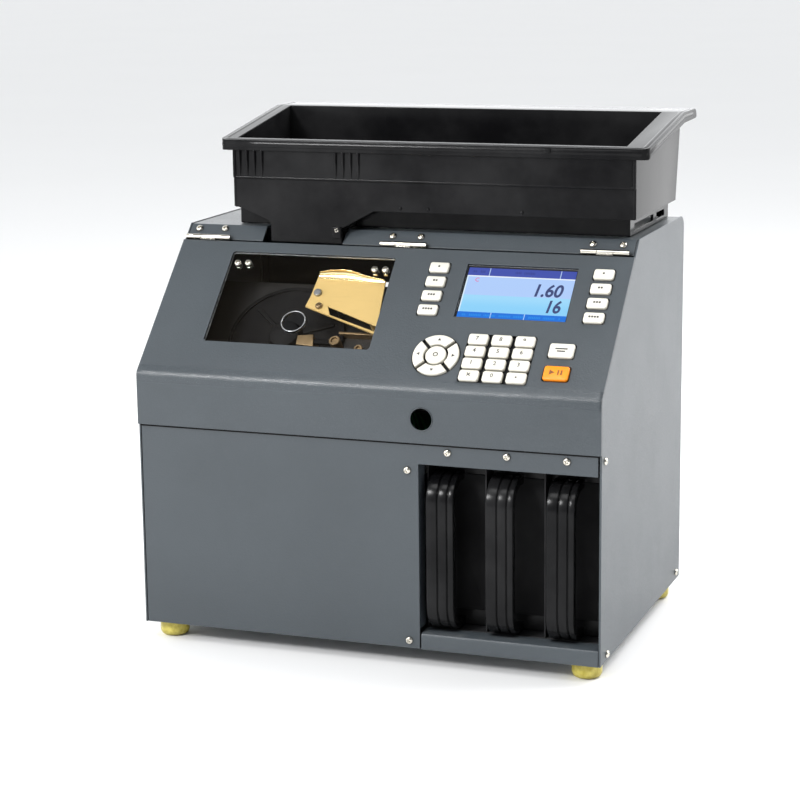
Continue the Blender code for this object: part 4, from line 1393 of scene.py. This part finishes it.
@dataclass
class Hopper:
    """The coin tray and its plinth, with ribs, clips and small fixings."""

    frame: CaseFrame
    finishes: Finishes
    screw: bpy.types.Mesh
    wall: float = 93.2

    def build(self) -> None:
        """Dresses the tray and adds its details."""
        dress(["hopper_tray"], self.finishes["gloss"], 0.8, 3)
        dress(["hopper_base"], self.finishes["gloss"], 0.8, 3)
        self._rim()
        self._corners()
        self._ribs()
        self._small_fixings()
        self._wall_holes()

    def _rim(self) -> None:
        """Adds the rounded bead along the front, left and right of the rim."""
        radius, rise = 4.3, (389.6 - 371.8) / (208.0 - 91.5)
        form = Form()

        def along(y: float) -> float:
            """Gives the bead's middle height at a distance from the front."""
            return 371.8 - radius + 0.3 + rise * (min(y, 208.0) - 91.5)

        left, right, front = -151.6 + radius - 0.7, 194.5 - radius + 0.5, 91.5 + radius - 0.7
        depths = (236.0, 222.0, 208.0, 180.0, 150.0, 120.0, front + 3.0)
        side_left = [Vector((left, y, along(y))) for y in depths]
        turns = ((0.9, front + 0.9), (3.0, front))
        corner_left = [Vector((left + step, y, along(front))) for step, y in turns]
        row = [Vector((x, front, along(front))) for x in (-120.0, -60.0, 0.0, 60.0, 120.0, 160.0)]
        corner_right = [Vector((right - step, y, along(front))) for step, y in reversed(turns)]
        side_right = [Vector((right, y, along(y))) for y in reversed(depths)]
        path = side_left + corner_left + row + corner_right + side_right
        form.tube(path, radius, self.frame.at(0, 0, 0), 16)
        form.finish("hopper_rim_bead", self.finishes["gloss"], "case", "black_plastic")

    def _corners(self) -> None:
        """Adds the rounded beads down the tray's upright corners and along its step."""
        form = Form()
        place = self.frame.at(0, 0, 0)
        for x, side in ((-141.4, 1.0), (184.2, -1.0)):
            upper = [Vector((x + 0.9 * side, 94.1, 342.0)), Vector((x + 0.9 * side, 94.1, 364.0))]
            lower = [Vector((x + 0.9 * side, 95.4, 319.0)), Vector((x + 0.9 * side, 95.4, 341.6))]
            form.tube(upper, 1.4, place, 12).tube(lower, 1.4, place, 12)
        step = [(93.35, 343.2), (93.05, 342.6), (93.1, 341.9), (93.6, 341.3), (94.8, 341.2), (94.8, 343.2)]
        form.prism([(z, -y) for y, z in step], -141.0, 183.8, self.frame.at(0, 0, 0, Facing.RIGHT, 180.0))
        form.finish("hopper_corner_beads", self.finishes["gloss"], "case", "black_plastic")

    def _ribs(self) -> None:
        """Adds the tapered ribs under the front rim."""
        form = Form()
        for first in (-135.5, -54.5):
            for i in range(4):
                x = first + 6.3 * i
                rings = []
                for z, out in ((364.0, 2.1), (356.0, 1.9), (350.0, 1.4), (345.0, 0.6), (343.0, 0.1)):
                    half = 0.35 + 0.35 * out
                    ring = [(x - half, 0.6), (x + half, 0.6), (x + half, -out * 0.6)]
                    ring += [(x + half * 0.5, -out), (x - half * 0.5, -out), (x - half, -out * 0.6)]
                    rings.append(([(a, self.wall + b) for a, b in ring], z))
                form.loft(rings, self.frame.at(0, 0, 0))
        form.finish("hopper_ribs", self.finishes["gloss"], "case", "black_plastic", 50.0)

    def _small_fixings(self) -> None:
        """Adds the chute's clip, the bosses on the front wall and the rim's catch."""
        form = Form()
        form.block((7.5, 9.0, 2.2), self.frame.at(-54.6, 94.4, 301.0, Facing.FRONT), 0.5)
        form.block((5.0, 3.4, 1.6), self.frame.at(117.0, 91.4, 369.0, Facing.FRONT), 0.4)
        for x in (-1.9, 20.6, 96.0):
            boss = [(0, 0), (1.5, 0), (1.4, 0.5), (0.9, 0.9), (0, 1.05)]
            form.turned(boss, self.frame.at(x, 94.5, 321.5, Facing.FRONT), 14)
        form.finish("hopper_fixings", self.finishes["gloss"], "case", "black_plastic")
        screws = Form().stamp(self.screw, self.frame.at(-54.3, 94.0, 302.9, Facing.FRONT, 20.0))
        screws.finish("hopper_clip_screw", self.finishes["nickel"], "case", "hinge_steel")

    def _wall_holes(self) -> None:
        """Adds the three blind plugs under the right rim."""
        form = Form()
        for y, z in ((198.0, 371.0), (214.0, 374.5), (229.0, 378.0)):
            plug = [(0, 0), (1.3, 0), (1.3, 0.1), (0.9, 0.12), (0, 0.05)]
            form.turned(plug, self.frame.at(184.2, y, z, Facing.RIGHT), 16)
        form.finish("hopper_plugs", self.finishes["matt"], "case", "black_matt_plastic")


@dataclass
class CoinWorks:
    """What the window and the open lid show: deck, disc, guide plate and motor."""

    frame: CaseFrame
    finishes: Finishes
    screw: bpy.types.Mesh
    disc: tuple[float, float] = (-88.0, 62.0)

    def build(self) -> None:
        """Dresses the works and adds their details."""
        dress(["sort_deck"], self.finishes["deck"])
        dress(["drive_motor"], self.finishes["steel"])
        dress(["feed_disc"], self.finishes["void"])
        dress(["guide_plate"], self.finishes["brass"])
        dress(["control_board"], self.finishes["board"])
        self._disc_lugs()
        self._guide()
        self._deck_parts()

    def _disc_lugs(self) -> None:
        """Adds the lugs that carry coins round with the disc."""
        form = Form()
        for spin in (20.0, 140.0, 260.0):
            place = self.frame.on_slope(*self.disc, -31.4, spin)
            form.cushion(rounded((27.0, 0), (26.0, 3.4), 1.6, 4), 0, 1.6, 0.7, 0.0, place)
        form.finish("disc_lugs", self.finishes["void"], "disc", "black_matt_plastic")

    def _guide(self) -> None:
        """Adds the guide plate's rail, its curled edge, its screw and its roller."""
        rail = Form()
        band = [(-70.6, 79.5), (-6.7, 56.6), (-6.8, 58.0), (-48.6, 72.3), (-52.4, 81.0), (-69.2, 87.2)]
        rail.prism(band, -13.0, -12.4, self.frame.on_slope())
        rail.finish("guide_rail", self.finishes["brass"], "case", "brass_plate")
        curl = Form()
        rings = []
        crest = [(-66.6, 110.9), (-57.0, 112.2), (-46.0, 112.6), (-38.0, 111.8)]
        crest += [(-29.0, 109.4), (-20.0, 108.2), (-12.0, 107.2)]
        for x, top in crest:
            base = 107.0 - 0.035 * (x + 66.6)
            high = top - base
            ring = []
            for step in range(7):
                turn = pi / 2 * step / 6
                ring.append(Vector((x, base + high * sin(turn), -12.9 + 0.85 * high * (1 - cos(turn)))))
            rings.append(ring + [point + Vector((0.0, 0.2, -0.7)) for point in ring[::-1]])
        curl.skinned(rings, self.frame.on_slope())
        curl.finish("guide_curl", self.finishes["bright_brass"], "case", "brass_plate")
        screw = Form().stamp(self.screw, self.frame.on_slope(-59.3, 79.8, -11.9, 15.0))
        screw.finish("guide_screw", self.finishes["bronze"], "case", "brass_plate")
        drum = [(0, 0), (3.0, 0), (3.2, 0.4), (3.2, 2.4), (2.8, 2.9), (0, 2.9)]
        roller = Form().turned(drum, self.frame.on_slope(-63.8, 92.6, -13.6), 24)
        roller.finish("guide_roller", self.finishes["steel"], "case", "bare_steel")

    def _deck_parts(self) -> None:
        """Adds the stand-offs, the sensor bracket and the coin rail on the deck."""
        posts = Form()
        for x, up, outer in ((-38.2, 48.8, 4.4), (-17.1, 42.6, 3.6)):
            profile = [(0, -34.0), (outer, -34.0), (outer, -12.6), (outer - 0.5, -12.0), (outer - 1.6, -12.0)]
            posts.turned(profile + [(outer - 1.9, -13.6), (0, -13.6)], self.frame.on_slope(x, up), 28)
        posts.finish("deck_posts", self.finishes["bronze"], "case", "brass_plate")
        outline = [(-69.0, 43.7), (-54.6, 42.7), (-57.2, 53.8), (-69.7, 52.1)]
        bracket = Form().cushion(outline, -28.5, -13.0, 0.5, 0.0, self.frame.on_slope())
        bracket.finish("sensor_bracket", self.finishes["bronze"], "case", "brass_plate")
        arm = Form().block((20.0, 4.0, 2.5), self.frame.on_slope(-47.6, 48.6, -17.0), 0.4)
        arm.finish("sensor_arm", self.finishes["void"], "case", "black_matt_plastic")
        rail = Form().block((216.0, 3.0, 9.0), self.frame.on_slope(64.0, 32.0, -34.0), 0.5)
        rail.block((216.0, 2.0, 6.0), self.frame.on_slope(64.0, 67.0, -34.0), 0.4)
        rail.finish("coin_rail", self.finishes["bronze"], "case", "brass_plate")


@dataclass
class Cassettes:
    """The three coin cassettes and the bay they slide in."""

    frame: CaseFrame
    finishes: Finishes
    lanes: tuple[tuple[float, float], ...] = ((46.6, 91.2), (92.4, 137.0), (138.2, 181.8))

    def build(self) -> None:
        """Dresses the cassettes and adds the raised panel beside each grip."""
        dress(["cassette_bay"], self.finishes["matt"])
        for side, (left, right), grip in zip(("left", "middle", "right"), self.lanes, (50.0, 96.4, 143.2)):
            node = f"coin_cassette_{side}"
            dress([node], self.finishes["cassette"])
            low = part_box(node)[0].x / MM - self.frame.origin.x / MM
            form = Form()
            middle = (low + right - 0.6) / 2
            face = rounded((middle, 79.0), (right - left - 5.0, 106.0), 3.0, 4)
            form.cushion(face, 0, 0.8, 0.5, 0.0, self._front())
            form.finish(f"cassette_face_{side}", self.finishes["void"], f"cassette_{side}", "black_plastic")
            self._grip(side, grip)

    def _grip(self, side: str, left: float) -> None:
        """Adds the three raised bands round one cassette's grip.

        Args:
            side: the cassette's side.
            left: the grip's left edge.
        """
        y, low, high, r = 0.6, 13.8, 134.4, 21.0
        path = [(28.0, high)] + arc((y + r, high - r), r, 90, 180, 12)
        path += arc((y + r, low + r), r, 180, 270, 12) + [(28.0, low)]
        form = Form()
        for a, b in ((-0.1, 8.1), (9.2, 15.7), (16.8, 21.1)):
            x0, x1 = left + a, left + b
            section = [(x0, -0.5), (x0, 0.0), (x0 + 0.25, 0.3), (x0 + 0.9, 0.42)]
            section += [(x1 - 0.9, 0.42), (x1 - 0.25, 0.3), (x1, 0.0), (x1, -0.5)]
            form.swept(path, section, self.frame.at(0, 0, 0))
        form.finish(f"cassette_grip_{side}", self.finishes["cassette"], f"cassette_{side}", "black_plastic")

    def _front(self) -> Matrix:
        """Gives the placement of the cassettes' front faces, X across and Y up."""
        return self.frame.at(0.0, 30.0, 0.0, Facing.FRONT)


@dataclass
class RearFittings:
    """The power inlet and switch, with their contacts and marks."""

    frame: CaseFrame
    finishes: Finishes
    inlet: tuple[float, float] = (-120.0, 50.0)

    def build(self) -> None:
        """Dresses the inlet and adds its pins and marks."""
        dress(["power_inlet"], self.finishes["matt"])
        dress(["power_switch"], self.finishes["gloss"])
        x, z = self.inlet
        pins = Form()
        for dx, dz in ((-5.5, -11.5), (5.5, -11.5), (0.0, -6.0)):
            pins.block((1.6, 4.0, 11.0), self.frame.at(x + dx, 236.0, z + dz, Facing.REAR), 0.3)
        pins.finish("inlet_pins", self.finishes["nickel"], "case", "hinge_steel")
        marks = Form().prism(rounded((0, 0), (0.6, 3.2), 0.2, 2), 0, 0.06, self._on_rocker(3.2, 21.5, 3.95))
        marks.ring(1.1, 1.6, 0, 0.06, self._on_rocker(-3.3, 0.0, 1.62), 0.01)
        marks.finish("switch_marks", self.finishes["ivory"], "switch", "key_ivory")

    def _on_rocker(self, dz: float, lean: float, out: float) -> Matrix:
        """Gives a spot on the rocker's face, above or below its pivot."""
        x, z = self.inlet
        turn = Matrix.Rotation(radians(lean), 4, "X") if lean else Matrix()
        base = self.frame.at(x, 251.0 + (out if not lean else 2.86), z + 12.0 + dz, Facing.REAR)
        return base @ turn


def main() -> None:
    """Builds the machine."""
    logging.basicConfig(level=logging.INFO, format="%(message)s")
    case_frame = CaseFrame.from_panels()
    Studio(case_frame).build()
    finishes = Finishes(case_frame)
    screw = PanScrew().mesh()
    Casing(case_frame, finishes, screw).build()
    Lid(case_frame, finishes, screw).build()
    Display(case_frame, finishes).build()
    Keypad(case_frame, finishes).build()
    Hopper(case_frame, finishes, screw).build()
    CoinWorks(case_frame, finishes, screw).build()
    Cassettes(case_frame, finishes).build()
    RearFittings(case_frame, finishes).build()


if __name__ == "__main__":
    main()
